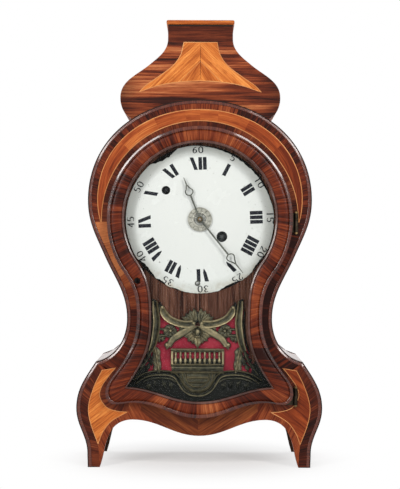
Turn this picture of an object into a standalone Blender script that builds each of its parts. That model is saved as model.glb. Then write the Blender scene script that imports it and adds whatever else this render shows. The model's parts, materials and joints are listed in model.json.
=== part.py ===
# Bracket clock: a shaped case on four feet, a glazed door, an enamel dial and a movement with an alarm.
# Metres, +Z up, front towards -Y. Angles of hands, wheels and arms run clockwise from 12 o'clock.
import math

import bmesh
import bpy
from mathutils import Matrix
from mathutils import Vector

for old in list(bpy.data.objects):
    bpy.data.objects.remove(old, do_unlink=True)

# Clearances
GAP = 0.0003
RUNNING_GAP = 0.0003

# Case outline, half widths and heights
CASE_TOP = 0.5092
WIDE_HALF = 0.1550
WIDE_Z = 0.3700
FLANK_HALF = 0.1315
FLANK_Z = 0.2927
WAIST_HALF = 0.1003
WAIST_Z = 0.2055
SHOULDER_HALF = 0.1435
SHOULDER_Z = 0.1458
BELLY_HALF = 0.1702
BELLY_Z = 0.0820
ANKLE_HALF = 0.1545
ANKLE_Z = 0.0190
TOE_INNER = 0.1375
LEG_INNER = 0.1235
LEG_Z = 0.0475
ARCH_HALF = 0.0920
ARCH_Z = 0.0660
APRON_Z = 0.0437

# Case boards
DOOR_T = 0.0147
FRONT_T = 0.0140
SIDE_DEPTH = 0.1424
WALL_T = 0.0080
BACK_T = 0.0075
BUTTON_T = 0.0018
SHOULDER_JOINT_Z = 0.1350
BOTTOM_Z = 0.0680
BOTTOM_T = 0.0080
LEG_DEPTH_FRONT = 0.0220
LEG_DEPTH_BACK = 0.0200
SIDE_ARCH_Z = 0.0520

# Crest above the arch
CREST_NECK_HALF = 0.0450
CREST_NECK_Z = 0.5940
CREST_TOP = 0.6135
CREST_SWEEP_HALF = 0.0700
CREST_SWEEP_Z = 0.5585
CREST_HALF = 0.1110
CREST_Z = 0.5110
CREST_FOOT_HALF = 0.0950
CREST_SETBACK = 0.0060
CREST_FRONT_T = 0.0100
CAP_HALF = 0.0472
CAP_T = 0.0062
CAP_OVERHANG = 0.0030

# Door, sight line of its glass and the board's opening behind it
DOOR_R = 0.1280
DOOR_ARC_Z = 0.3438
DOOR_ARC_END = 126.0
DOOR_WAIST_HALF = 0.0860
DOOR_WAIST_Z = 0.2075
DOOR_FLARE_HALF = 0.1205
DOOR_FLARE_Z = 0.1250
DOOR_CORNER_HALF = 0.1292
DOOR_CORNER_Z = 0.1030
DOOR_HEEL_HALF = 0.1160
DOOR_HEEL_Z = 0.0886
DOOR_RISE_HALF = 0.0860
DOOR_RISE_Z = 0.0908
DOOR_FOOT_Z = 0.0698
SIGHT_R = 0.1045
SIGHT_ARC_Z = 0.3447
SIGHT_ARC_END = 125.0
SIGHT_WAIST_HALF = 0.0666
SIGHT_WAIST_Z = 0.1980
SIGHT_CORNER_HALF = 0.1000
SIGHT_CORNER_Z = 0.1120
SIGHT_RISE_HALF = 0.0840
SIGHT_RISE_Z = 0.1103
SIGHT_FOOT_Z = 0.0919
OPENING_MARGIN = 0.0090
REBATE = 0.0060
REBATE_DEPTH = 0.0075
GLASS_T = 0.0020
BEAD_T = 0.0027
BEAD_LAP = 0.0015

# Hinges, latch and back door
HINGE_X = 0.1330
KNUCKLE_R = 0.0030
HINGE_PIN_R = 0.0015
LEAF_T = 0.0010
LEAF_REACH = 0.0190
UPPER_HINGE_Z = 0.3390
UPPER_HINGE_H = 0.0260
LOWER_HINGE_Z = 0.0987
LOWER_HINGE_H = 0.0230
LATCH_X = -0.0860
LATCH_Z = 0.2585
LATCH_R = 0.0040
SPINDLE_R = 0.0030
BLADE_LENGTH = 0.0140
BLADE_T = 0.0020
BACK_OPENING_HALF = 0.0750
BACK_OPENING_LOW = 0.1500
BACK_OPENING_HIGH = 0.4400
BACK_DOOR_T = 0.0060
BACK_JAMB_GAP = 0.0010
PIVOT_R = 0.0015
PIVOT_INSET = 0.0030
PIVOT_LENGTH = 0.0140
BUTTON_HALF = 0.0130
BUTTON_Z = 0.3000

# Dial, mask, fret and cloth
DIAL_Z = 0.3435
DIAL_R = 0.1035
DIAL_T = 0.0020
DIAL_DOME = 0.0040
DIAL_FOOT_R = 0.0015
DIAL_FOOT_RADIUS = 0.0660
DIAL_FOOT_ANGLES = (20.0, 140.0, 235.0)
MASK_T = 0.0060
MASK_LAP = 0.0080
MASK_HOLE_R = 0.0950
SOUND_MARGIN = 0.0100
SOUND_TOP = 0.1900
FRET_T = 0.0030
FRET_MARGIN = 0.0030
CLOTH_T = 0.0006
CLOTH_MARGIN = 0.0020
CLOTH_FOOT_Z = 0.1250

# Movement frame
PLATE_HALF = 0.0750
PLATE_T = 0.0025
PLATE_SPACE = 0.0440
MOVEMENT_SETBACK = 0.0127
PILLAR_INSET = 0.0090
PILLAR_R = 0.0040
PILLAR_TENON_R = 0.0020
SEAT_T = 0.0100
SEAT_FRONT_SPACE = 0.0057
SEAT_DEPTH = 0.0620

# Wheel centres from the dial centre
GOING_X = 0.0307
GOING_DZ = -0.0239
ALARM_X = -0.0472
ALARM_DZ = 0.0403
ESCAPE_DZ = 0.0400
PALLET_RISE = 0.0260
THIRD_ANGLE = 36.6
MINUTE_ANGLE = 250.0
ALARM_ESCAPE_ANGLE = 171.0
HAMMER_ANGLE = 250.0
LEVER_X = -0.0300
LEVER_DZ = -0.0200
LEVER_CONTACT = 190.0

# Wheel teeth and mesh distances
GREAT_TEETH = 48
CENTRE_LEAVES = 8
CENTRE_TEETH = 60
THIRD_LEAVES = 6
THIRD_TEETH = 72
ESCAPE_LEAVES = 6
ESCAPE_TEETH = 35
CANNON_TEETH = 8
MINUTE_TEETH = 24
MINUTE_LEAVES = 8
HOUR_TEETH = 32
ALARM_GREAT_TEETH = 48
ALARM_LEAVES = 8
ALARM_ESCAPE_TEETH = 16
RATCHET_TEETH = 24
CENTRE_DISTANCE = 0.02805
THIRD_DISTANCE = 0.02418
MOTION_DISTANCE = 0.0168
ALARM_DISTANCE = 0.0272
ESCAPE_R = 0.0170
ALARM_ESCAPE_R = 0.0110
ESCAPE_SPAN = 3.75
ALARM_SPAN = 1.75
WHEEL_T = 0.0016
PINION_T = 0.0050
PALLET_CLEARANCE = 0.00025

# Places of wheels behind the front plate's inner face
DRUM_START = 0.0020
GOING_DRUM_LENGTH = 0.0240
ALARM_DRUM_LENGTH = 0.0180
GREAT_T = 0.0025
CENTRE_WHEEL_PLACE = 0.0340
THIRD_WHEEL_PLACE = 0.0390
ESCAPE_WHEEL_PLACE = 0.0140
ALARM_ESCAPE_PLACE = 0.0300
GOING_DRUM_R = 0.0300
ALARM_DRUM_R = 0.0200
DRUM_WALL = 0.0015
SPRING_T = 0.0008
GOING_TURNS = 6
ALARM_TURNS = 4

# Arbors
FINE_ARBOR_R = 0.0010
CENTRE_ARBOR_R = 0.0014
BARREL_ARBOR_R = 0.0030
WINDING_SQUARE = 0.0042
GOING_RATCHET_R = 0.0120
ALARM_RATCHET_R = 0.0100
RATCHET_DEPTH = 0.0020
RATCHET_T = 0.0018
CLICK_REACH = 0.0050
CLICK_PIN_R = 0.0015

# Motion work and hands
CANNON_R = 0.0023
HOUR_PIPE_R = 0.0035
ALARM_PIPE_R = 0.0049
ALARM_CAM_R = 0.0080
ALARM_DISC_R = 0.0167
ALARM_DISC_T = 0.0010
DISC_SPACE = 0.0012
HAND_T = 0.0012
HAND_SPACE = 0.0008
HOUR_LENGTH = 0.0626
HOUR_ANGLE = -20.9
MINUTE_LENGTH = 0.0936
MINUTE_HAND_ANGLE = 140.6
NUT_R = 0.0032
NUT_T = 0.0020

# Pendulum, bell and hammer
PENDULUM_SETBACK = 0.0137
PENDULUM_LENGTH = 0.1830
ROD_R = 0.0012
BOB_R = 0.0220
BOB_T = 0.0120
RATING_NUT_R = 0.0050
RATING_NUT_T = 0.0040
COCK_SPACE = 0.0082
COCK_T = 0.0025
COCK_HALF = 0.0180
CRUTCH_LENGTH = 0.0340
STUD_R = 0.0014
BELL_R = 0.0320
BELL_H = 0.0260
BELL_WALL = 0.0016
BELL_RISE = 0.0130
STAND_R = 0.0025
STAND_X = 0.0260
HAMMER_SWING = 6.0
HAMMER_HEAD_R = 0.0040

# Places along Y, from the front
depth = DOOR_T + FRONT_T + SIDE_DEPTH + BACK_T + BUTTON_T + 4 * GAP
door_front = -depth / 2
door_back = door_front + DOOR_T
board_front = door_back + GAP
board_back = board_front + FRONT_T
side_front = board_back + GAP
side_back = side_front + SIDE_DEPTH
frame_front = side_back + GAP
frame_back = frame_front + BACK_T
mask_front = side_front
mask_back = mask_front + MASK_T
dial_back = mask_front - GAP
dial_rim = dial_back - DIAL_T
dial_nose = dial_rim - DIAL_DOME
plate_front = mask_back + MOVEMENT_SETBACK
inside = plate_front + PLATE_T
plates_end = inside + PLATE_SPACE
back_plate_front = plates_end + GAP
back_plate_back = back_plate_front + PLATE_T

# Wheel centres in the case
dial_centre = Vector((0.0, DIAL_Z))
going_centre = dial_centre + Vector((GOING_X, GOING_DZ))
alarm_centre = dial_centre + Vector((ALARM_X, ALARM_DZ))
escape_centre = dial_centre + Vector((0.0, ESCAPE_DZ))
pallet_centre = escape_centre + Vector((0.0, PALLET_RISE))

clock = bpy.data.collections.new("bracket_clock")
cutters = bpy.data.collections.new("cutters")
bpy.context.scene.collection.children.link(clock)
bpy.context.scene.collection.children.link(cutters)


def make_material(name, colour, roughness, metallic):
    material = bpy.data.materials.new(name)
    material.use_nodes = True
    shader = material.node_tree.nodes["Principled BSDF"]
    shader.inputs["Base Color"].default_value = (*colour, 1.0)
    shader.inputs["Roughness"].default_value = roughness
    shader.inputs["Metallic"].default_value = metallic
    return material


rosewood = make_material("rosewood", (0.115, 0.022, 0.010), 0.35, 0.0)
tulipwood = make_material("tulipwood", (0.48, 0.14, 0.035), 0.35, 0.0)
carcass = make_material("carcass_oak", (0.16, 0.075, 0.035), 0.6, 0.0)
enamel = make_material("enamel", (0.80, 0.83, 0.79), 0.15, 0.0)
bronze = make_material("gilt_bronze", (0.14, 0.11, 0.055), 0.4, 1.0)
crimson = make_material("crimson_cloth", (0.36, 0.025, 0.05), 0.9, 0.0)
brass = make_material("brass", (0.55, 0.38, 0.14), 0.3, 1.0)
steel = make_material("steel", (0.35, 0.36, 0.37), 0.3, 1.0)
pewter = make_material("pewter", (0.36, 0.37, 0.30), 0.45, 0.8)
glass = make_material("glass", (0.9, 0.93, 0.92), 0.05, 0.0)
glass.node_tree.nodes["Principled BSDF"].inputs["Transmission Weight"].default_value = 1.0


# Flat outlines
def polar(radius, degrees, centre=(0.0, 0.0)):
    angle = math.radians(degrees)
    return Vector((centre[0] + radius * math.sin(angle), centre[1] + radius * math.cos(angle)))


def circle(radius, centre=(0.0, 0.0), sides=24):
    return [polar(radius, 360 * i / sides, centre) for i in range(sides)]


def arc(radius, start, end, centre, steps):
    return [polar(radius, start + (end - start) * i / steps, centre) for i in range(steps + 1)]


def rectangle(left, right, low, high):
    return [Vector((left, low)), Vector((left, high)), Vector((right, high)), Vector((right, low))]


def smooth_line(stations, steps=5, pull=0.38):
    # Each station is x, z, the heading on arrival and, at a corner, the heading on leaving.
    points = []
    for start, end in zip(stations, stations[1:]):
        a = Vector(start[:2])
        b = Vector(end[:2])
        reach = (b - a).length * pull
        leave = math.radians(start[-1])
        arrive = math.radians(end[2])
        c = a + reach * Vector((math.cos(leave), math.sin(leave)))
        d = b - reach * Vector((math.cos(arrive), math.sin(arrive)))
        for i in range(steps):
            t = i / steps
            points.append(a * (1 - t) ** 3 + c * 3 * t * (1 - t) ** 2 + d * 3 * t * t * (1 - t) + b * t ** 3)
    points.append(Vector(stations[-1][:2]))
    return points


def shifted(points, distance, closed=False):
    # Moves a clockwise line outwards by a distance, with mitred corners, and drops what folds over.
    moved_points = []
    count = len(points)
    for i, point in enumerate(points):
        before = points[i - 1] if (i or closed) else None
        after = points[(i + 1) % count] if (i + 1 < count or closed) else None
        if abs(point.x) < 1e-9 and not closed:
            before = before or Vector((-after.x, after.y))
            after = after or Vector((-before.x, before.y))
        normals = []
        for a, b in ((before, point), (point, after)):
            if a is not None and b is not None:
                way = (b - a).normalized()
                normals.append(Vector((-way.y, way.x)))
        total = normals[0] + normals[-1]
        moved_points.append(point + total * (2 * distance / total.length_squared))
    edges = list(zip(points, points[1:]))
    if closed:
        edges.append((points[-1], points[0]))
    return [p for p in moved_points if all(space(p, *edge) > 0.98 * abs(distance) for edge in edges)]


def space(point, start, end):
    # Distance from a point to a straight edge.
    way = end - start
    along = min(max((point - start).dot(way) / way.length_squared, 0.0), 1.0)
    return (point - start - way * along).length


def closed_loop(half):
    # Joins a right half, from its top to its foot on the centre line, with its mirror image.
    left = [Vector((-p.x, p.y)) for p in reversed(half)]
    return half + [p for p in left if p.x < -1e-6]


def mirrored(loop):
    return [Vector((-p.x, p.y)) for p in reversed(loop)]


def between(points, low, high):
    # The stretch of a line whose height lies between two limits.
    kept = []
    for a, b in zip(points, points[1:]):
        for limit in sorted((low, high), reverse=a.y > b.y):
            if (a.y - limit) * (b.y - limit) < 0:
                kept.append(a.lerp(b, (limit - a.y) / (b.y - a.y)))
        if low <= b.y <= high:
            kept.append(b)
    if low <= points[0].y <= high:
        kept.insert(0, points[0])
    return kept


def half_width(points, low, high):
    return min(p.x for p in between(points, low, high))


# Meshes, all in world places
def finish_mesh(mesh, matrix=Matrix()):
    work = bmesh.new()
    work.from_mesh(mesh)
    bmesh.ops.transform(work, matrix=matrix, verts=work.verts)
    bmesh.ops.remove_doubles(work, verts=work.verts, dist=1e-6)
    bmesh.ops.recalc_face_normals(work, faces=work.faces)
    work.to_mesh(mesh)
    work.free()
    return mesh


def filled_curve(loops, thickness):
    curve = bpy.data.curves.new("outline", "CURVE")
    curve.dimensions = "2D"
    curve.fill_mode = "BOTH"
    curve.extrude = thickness / 2
    for loop in loops:
        spline = curve.splines.new("POLY")
        spline.points.add(len(loop) - 1)
        for spot, place in zip(spline.points, loop):
            spot.co = (place[0], place[1], 0.0, 1.0)
        spline.use_cyclic_u = True
    holder = bpy.data.objects.new("outline", curve)
    mesh = bpy.data.meshes.new_from_object(holder)
    bpy.data.objects.remove(holder)
    return mesh


def slab(loops, front, back):
    # A flat shape seen from the front, running from one place along Y to another.
    turn = Matrix.Rotation(math.radians(90), 4, "X")
    return finish_mesh(filled_curve(loops, back - front), Matrix.Translation((0, (front + back) / 2, 0)) @ turn)


def column(loops, low, high):
    # A flat shape seen from above, running from one height to another.
    return finish_mesh(filled_curve(loops, high - low), Matrix.Translation((0, 0, (low + high) / 2)))


def block(left, right, front, back, low, high):
    return slab([rectangle(left, right, low, high)], front, back)


def evaluated_mesh(holder):
    bpy.context.scene.collection.objects.link(holder)
    bpy.context.view_layer.update()
    mesh = bpy.data.meshes.new_from_object(holder.evaluated_get(bpy.context.evaluated_depsgraph_get()))
    bpy.data.objects.remove(holder)
    return mesh


def turned(profile, steps, centre, upright=False, ring=True):
    # A profile of radius and place along the axis, swept round Y, or round Z if upright.
    mesh = bpy.data.meshes.new("profile")
    edges = [(i, i + 1) for i in range(len(profile) - 1)]
    if ring:
        edges.append((len(profile) - 1, 0))
    mesh.from_pydata([(radius, 0.0, place) for radius, place in profile], edges, [])
    holder = bpy.data.objects.new("profile", mesh)
    screw = holder.modifiers.new("Screw", "SCREW")
    screw.steps = steps
    screw.render_steps = steps
    screw.use_merge_vertices = True
    screw.merge_threshold = 0.00001
    swept = evaluated_mesh(holder)
    if upright:
        return finish_mesh(swept, Matrix.Translation((centre[0], centre[1], 0)))
    turn = Matrix.Rotation(math.radians(-90), 4, "X")
    return finish_mesh(swept, Matrix.Translation((centre[0], 0, centre[1])) @ turn)


def rod(radius, front, back, centre, sides=12):
    return slab([circle(radius, centre, sides)], front, back)


def tube_along(points, radius):
    curve = bpy.data.curves.new("tube", "CURVE")
    curve.dimensions = "3D"
    curve.bevel_depth = radius
    curve.bevel_resolution = 1
    curve.use_fill_caps = True
    spline = curve.splines.new("POLY")
    spline.points.add(len(points) - 1)
    for spot, place in zip(spline.points, points):
        spot.co = (*place, 1.0)
    holder = bpy.data.objects.new("tube", curve)
    mesh = bpy.data.meshes.new_from_object(holder)
    bpy.data.objects.remove(holder)
    return finish_mesh(mesh)


def torus(place, major, minor, upright):
    bpy.ops.mesh.primitive_torus_add(major_radius=major, minor_radius=minor, major_segments=14, minor_segments=6)
    holder = bpy.context.object
    mesh = holder.data.copy()
    bpy.data.objects.remove(holder)
    turn = Matrix() if upright else Matrix.Rotation(math.radians(90), 4, "X")
    return finish_mesh(mesh, Matrix.Translation(place) @ turn)


# Named pieces
def piece(name, mesh, material, origin=(0.0, 0.0, 0.0)):
    mesh.name = name
    mesh.transform(Matrix.Translation(-Vector(origin)))
    mesh.materials.clear()
    mesh.materials.append(material)
    made = bpy.data.objects.new(name, mesh)
    made.location = origin
    clock.objects.link(made)
    return made


def change(target, mesh, operation):
    tool = bpy.data.objects.new(target.name + "_" + operation.lower(), mesh)
    tool.hide_render = True
    tool.display_type = "WIRE"
    cutters.objects.link(tool)
    step = target.modifiers.new(operation.title(), "BOOLEAN")
    step.operation = operation
    step.solver = "EXACT"
    step.object = tool


def cut(target, *meshes):
    for mesh in meshes:
        change(target, mesh, "DIFFERENCE")


def join(target, *meshes):
    for mesh in meshes:
        change(target, mesh, "UNION")


def on_axis(centre):
    return (centre[0], 0.0, centre[1])


# Outlines of the case and door
outer_side = smooth_line(
    [
        (0.0, CASE_TOP, 0),
        (WIDE_HALF, WIDE_Z, -90),
    ],
    steps=12,
    pull=0.405,
)[:-1] + smooth_line(
    [
        (WIDE_HALF, WIDE_Z, -90),
        (FLANK_HALF, FLANK_Z, -114),
        (WAIST_HALF, WAIST_Z, -90),
        (SHOULDER_HALF, SHOULDER_Z, -12, -57),
        (BELLY_HALF, BELLY_Z, -90),
        (ANKLE_HALF, ANKLE_Z, -90),
        (ANKLE_HALF - 0.0005, 0.0, -90),
    ]
)
under_side = smooth_line(
    [
        (TOE_INNER, 0.0, 109),
        (LEG_INNER, LEG_Z, 116),
        (ARCH_HALF, ARCH_Z, 180),
        (0.0, APRON_Z, 180),
    ]
)
case_half = outer_side + under_side
inner_side = shifted(outer_side, -WALL_T)

door_half = arc(DOOR_R, 0, DOOR_ARC_END, (0, DOOR_ARC_Z), 12)[:-1] + smooth_line(
    [
        (*polar(DOOR_R, DOOR_ARC_END, (0, DOOR_ARC_Z)), -DOOR_ARC_END),
        (DOOR_WAIST_HALF, DOOR_WAIST_Z, -90),
        (DOOR_FLARE_HALF, DOOR_FLARE_Z, -53),
        (DOOR_CORNER_HALF, DOOR_CORNER_Z, -90),
        (DOOR_HEEL_HALF, DOOR_HEEL_Z, -182),
        (DOOR_RISE_HALF, DOOR_RISE_Z, -176),
        (0.0, DOOR_FOOT_Z, 180),
    ],
    steps=4,
)
sight_half = arc(SIGHT_R, 0, SIGHT_ARC_END, (0, SIGHT_ARC_Z), 12)[:-1] + smooth_line(
    [
        (*polar(SIGHT_R, SIGHT_ARC_END, (0, SIGHT_ARC_Z)), -SIGHT_ARC_END),
        (SIGHT_WAIST_HALF, SIGHT_WAIST_Z, -90),
        (SIGHT_CORNER_HALF, SIGHT_CORNER_Z, -56, -174),
        (SIGHT_RISE_HALF, SIGHT_RISE_Z, -170),
        (0.0, SIGHT_FOOT_Z, 180),
    ],
    steps=4,
)


# Case boards
def make_case():
    opening = closed_loop(shifted(sight_half, OPENING_MARGIN))
    front = piece("front_board", slab([closed_loop(case_half), opening], board_front, board_back), rosewood)
    notch = (LATCH_X - 2.2 * SPINDLE_R, LATCH_X + 3.0 * SPINDLE_R)
    cut(
        front,
        block(
            *notch, board_front - 0.001, board_back + 0.001,
            LATCH_Z - BLADE_LENGTH - 0.0015, LATCH_Z + LATCH_R + 0.0008,
        ),
    )

    upper = between(outer_side, SHOULDER_JOINT_Z, 1.0)
    upper_inner = between(inner_side, SHOULDER_JOINT_Z, 1.0)
    upper[0] = Vector((GAP / 2, upper[0].y))
    upper_inner[0] = Vector((GAP / 2, upper_inner[0].y))
    lower = between(outer_side, 0.0, SHOULDER_JOINT_Z - GAP)
    lower_inner = between(inner_side, 0.0, SHOULDER_JOINT_Z - GAP)
    for side, flip in (("right", False), ("left", True)):
        loop = upper + upper_inner[::-1]
        foot = lower + lower_inner[::-1]
        if flip:
            loop = mirrored(loop)
            foot = mirrored(foot)
        piece(side + "_side", slab([loop], side_front, side_back), rosewood)
        panel = piece(side + "_foot_panel", slab([foot], side_front, side_back), rosewood)
        cut(
            panel,
            block(
                -0.3, 0.3, side_front + LEG_DEPTH_FRONT, side_back - LEG_DEPTH_BACK, -0.01, SIDE_ARCH_Z,
            ),
        )

    bottom_half = half_width(inner_side, BOTTOM_Z, BOTTOM_Z + BOTTOM_T) - GAP
    piece(
        "bottom_board",
        block(-bottom_half, bottom_half, mask_back + GAP, side_back, BOTTOM_Z, BOTTOM_Z + BOTTOM_T),
        carcass,
    )
    back_opening = rectangle(-BACK_OPENING_HALF, BACK_OPENING_HALF, BACK_OPENING_LOW, BACK_OPENING_HIGH)
    back = piece("back_frame", slab([closed_loop(case_half), back_opening], frame_front, frame_back), carcass)
    pivot_x = BACK_OPENING_HALF - BACK_JAMB_GAP - PIVOT_INSET
    pivot_y = frame_back - 0.002
    for low, high in (
        (BACK_OPENING_LOW - PIVOT_LENGTH, BACK_OPENING_LOW + 0.001),
        (BACK_OPENING_HIGH - 0.001, BACK_OPENING_HIGH + PIVOT_LENGTH),
    ):
        cut(back, column([circle(PIVOT_R + GAP, (pivot_x, pivot_y), 12)], low, high))
    cut(back, rod(PIVOT_R + RUNNING_GAP, frame_back - 0.005, frame_back + 0.001, button_centre()))
    make_back_door(pivot_x, pivot_y)


def button_centre():
    return (-BACK_OPENING_HALF - 0.006, BUTTON_Z)


def make_back_door(pivot_x, pivot_y):
    hinge = (pivot_x, pivot_y, 0.0)
    left = -BACK_OPENING_HALF + BACK_JAMB_GAP
    right = BACK_OPENING_HALF - BACK_JAMB_GAP
    low = BACK_OPENING_LOW + GAP
    high = BACK_OPENING_HIGH - GAP
    door = piece(
        "back_door", block(left, right, frame_back - BACK_DOOR_T, frame_back, low, high), carcass, hinge
    )
    half = PIVOT_LENGTH / 2
    for name, edge, inward in (("back_lower_pivot", low, 1), ("back_upper_pivot", high, -1)):
        inner = edge + inward * half
        outer = edge - inward * (half - GAP)
        bottom, top = sorted((inner, outer))
        piece(name, column([circle(PIVOT_R, hinge[:2], 12)], bottom, top), brass)
        socket = sorted((inner + inward * GAP, edge - inward * 0.001))
        cut(door, column([circle(PIVOT_R + RUNNING_GAP, hinge[:2], 12)], *socket))

    centre = button_centre()
    bar = [polar(0.004, a, centre) + Vector((0, BUTTON_HALF - 0.004)) for a in range(-90, 91, 30)]
    bar += [polar(0.004, a, centre) - Vector((0, BUTTON_HALF - 0.004)) for a in range(90, 271, 30)]
    front = frame_back + GAP
    button = piece("back_turn_button", slab([bar], front, front + BUTTON_T), brass, on_axis(centre))
    join(button, rod(PIVOT_R, frame_back - 0.004, front + BUTTON_T / 2, centre))


def make_crest():
    arch = [p for p in shifted(outer_side, GAP) if p.y > WIDE_Z]
    seat = [p for p in arch if p.x < CREST_FOOT_HALF]
    a = seat[-1]
    b = arch[len(seat)]
    seat.append(a.lerp(b, (CREST_FOOT_HALF - a.x) / (b.x - a.x)))
    sweep = smooth_line(
        [
            (CREST_NECK_HALF, CREST_NECK_Z, -90),
            (CREST_SWEEP_HALF, CREST_SWEEP_Z, -40),
            (CREST_HALF, CREST_Z, -90),
        ]
    )
    tuck = smooth_line([(CREST_HALF, CREST_Z, -90), (*seat[-1], -132)], steps=3)
    side = [Vector((CREST_NECK_HALF, CREST_TOP))] + sweep[:-1] + tuck
    half = [Vector((0.0, CREST_TOP))] + side[:-1] + seat[::-1]
    loop = closed_loop(half)
    front = board_front + CREST_SETBACK
    piece("crest_front", slab([loop], front, front + CREST_FRONT_T), rosewood)
    shell_front = front + CREST_FRONT_T + GAP
    shell = piece("crest_shell", slab([loop], shell_front, side_back), rosewood)
    hollow = shifted(loop, -WALL_T, closed=True)
    cut(shell, slab([hollow], shell_front - 0.001, side_back - WALL_T))

    cap = piece(
        "crest_cap",
        block(
            -CAP_HALF, CAP_HALF, front - CAP_OVERHANG, side_back + CAP_OVERHANG, CREST_TOP + GAP,
            CREST_TOP + GAP + CAP_T,
        ),
        tulipwood,
    )
    edge = cap.modifiers.new("Bevel", "BEVEL")
    edge.width = CAP_T * 0.4
    edge.segments = 2


# Glazed door with its hinges and latch
def hinge_axis():
    return (HINGE_X, board_front - KNUCKLE_R - 0.0005, 0.0)


def make_door():
    axis = hinge_axis()
    frame = piece("door_frame", slab([closed_loop(door_half), closed_loop(sight_half)], door_front, door_back),
                  rosewood, axis)
    rebate = closed_loop(shifted(sight_half, REBATE))
    pane_front = door_front + REBATE_DEPTH + GAP
    pane = closed_loop(shifted(sight_half, REBATE - GAP))
    piece("door_glass", slab([pane], pane_front, pane_front + GLASS_T), glass, axis)
    bead_front = pane_front + GLASS_T + GAP
    lip = closed_loop(shifted(sight_half, BEAD_LAP))
    piece("glass_bead", slab([pane, lip], bead_front, bead_front + BEAD_T), rosewood, axis)

    for name, z, height in (("upper", UPPER_HINGE_Z, UPPER_HINGE_H), ("lower", LOWER_HINGE_Z, LOWER_HINGE_H)):
        pocket = HINGE_X - LEAF_REACH - 2 * GAP
        cut(
            frame,
            block(
                pocket, HINGE_X, door_back - 2 * LEAF_T - 3 * GAP, door_back + 0.001,
                z - height / 2 - GAP, z + height / 2 + GAP,
            ),
        )
        make_hinge(name, z, height, axis)

    latch_hole = rod(LATCH_R + RUNNING_GAP, door_front - 0.001, door_back + 0.001, (LATCH_X, LATCH_Z), 16)
    cut(frame, latch_hole, slab([rebate], door_front + REBATE_DEPTH, door_back + 0.001))
    latch = piece(
        "door_latch",
        rod(LATCH_R, door_front + 0.0008, door_back, (LATCH_X, LATCH_Z), 16),
        brass,
        (LATCH_X, 0.0, LATCH_Z),
    )
    blade_front = board_back + 0.0005
    blade = [Vector((LATCH_X, LATCH_Z)) + p for p in arc(SPINDLE_R, -90, 90, (0, 0), 6)]
    blade += [
        Vector((LATCH_X + SPINDLE_R, LATCH_Z - BLADE_LENGTH)),
        Vector((LATCH_X - SPINDLE_R, LATCH_Z - BLADE_LENGTH)),
    ]
    join(
        latch,
        rod(SPINDLE_R * 0.8, door_back - 0.003, blade_front + BLADE_T / 2, (LATCH_X, LATCH_Z)),
        slab([blade], blade_front, blade_front + BLADE_T),
    )
    key_slot = [rectangle(LATCH_X - 0.0006, LATCH_X + 0.0006, LATCH_Z - 0.0025, LATCH_Z + 0.0025)]
    cut(latch, slab(key_slot, door_front, door_front + 0.005))


def make_hinge(name, z, height, axis):
    x, y = axis[:2]
    third = height / 3
    low = z - height / 2
    tab_end = x - KNUCKLE_R - 0.0006
    leaf_end = x - LEAF_REACH
    case_y = (board_front - GAP - LEAF_T, board_front - GAP)
    door_y = (case_y[0] - GAP - LEAF_T, case_y[0] - GAP)
    knuckle = [circle(KNUCKLE_R, (x, y), 16), circle(HINGE_PIN_R + RUNNING_GAP, (x, y), 12)]

    def leaf(node, y_range, spans, tab_start, origin):
        made = piece(
            node,
            block(leaf_end, tab_end, *y_range, low, low + height),
            brass,
            origin,
        )
        for start, end in spans:
            join(made, column(knuckle, start, end))
            join(made, block(tab_end - 0.001, tab_start, y_range[0] + 0.0001, y_range[1] - 0.0001, start, end))

    leaf(
        name + "_hinge_case_leaf",
        case_y,
        ((low, low + third - GAP), (low + 2 * third + GAP, low + height)),
        x,
        (0.0, 0.0, 0.0),
    )
    tab_start = x - (KNUCKLE_R + HINGE_PIN_R) / 2
    leaf(name + "_hinge_door_leaf", door_y, ((low + third, low + 2 * third),), tab_start, axis)
    head = KNUCKLE_R * 0.9
    top = low + height + GAP
    foot = low - GAP
    profile = [
        (0.0, top + 0.0030), (head * 0.6, top + 0.0024), (head, top + 0.0012), (head, top),
        (HINGE_PIN_R, top), (HINGE_PIN_R, foot),
        (head, foot), (head, foot - 0.0012), (head * 0.6, foot - 0.0024), (0.0, foot - 0.0030),
    ]
    piece(name + "_hinge_pin", turned(profile, 12, (x, y), upright=True, ring=False), brass)


# Dial, mask, fret and cloth
def fret_top():
    # Right half of the fret's upper edge: leaf wings, scrolls and a horn.
    return [
        Vector((0.0, 0.2125)), Vector((0.0050, 0.2195)), Vector((0.0200, 0.2110)), Vector((0.0225, 0.1990)),
        Vector((0.0360, 0.2060)), Vector((0.0500, 0.2185)), Vector((0.0580, 0.2245)), Vector((0.0610, 0.2140)),
    ]


def fret_windows():
    # Right half of the fret's piercings: scroll windows, balustrade slots and the foot arches.
    windows = [
        [(0.0500, 0.2110), (0.0565, 0.1950), (0.0540, 0.1770), (0.0370, 0.1820), (0.0240, 0.1900), (0.0330, 0.1975)],
        [(0.0160, 0.1760), (0.0300, 0.1760), (0.0480, 0.1700), (0.0460, 0.1640), (0.0300, 0.1640)],
        [(0.0500, 0.1620), (0.0570, 0.1500), (0.0640, 0.1340), (0.0480, 0.1300), (0.0440, 0.1420)],
        [(0.0840, 0.1150), (0.0700, 0.1230), (0.0560, 0.1250), (0.0400, 0.1200), (0.0320, 0.1080), (0.0560, 0.1110)],
    ]
    loops = [[Vector(p) for p in window] for window in windows]
    for i in range(5):
        x = 0.0037 + 0.0074 * i
        loops.append(rectangle(x - 0.0021, x + 0.0021, 0.1410, 0.1560))
    return loops + [mirrored(loop) for loop in loops]


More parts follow.
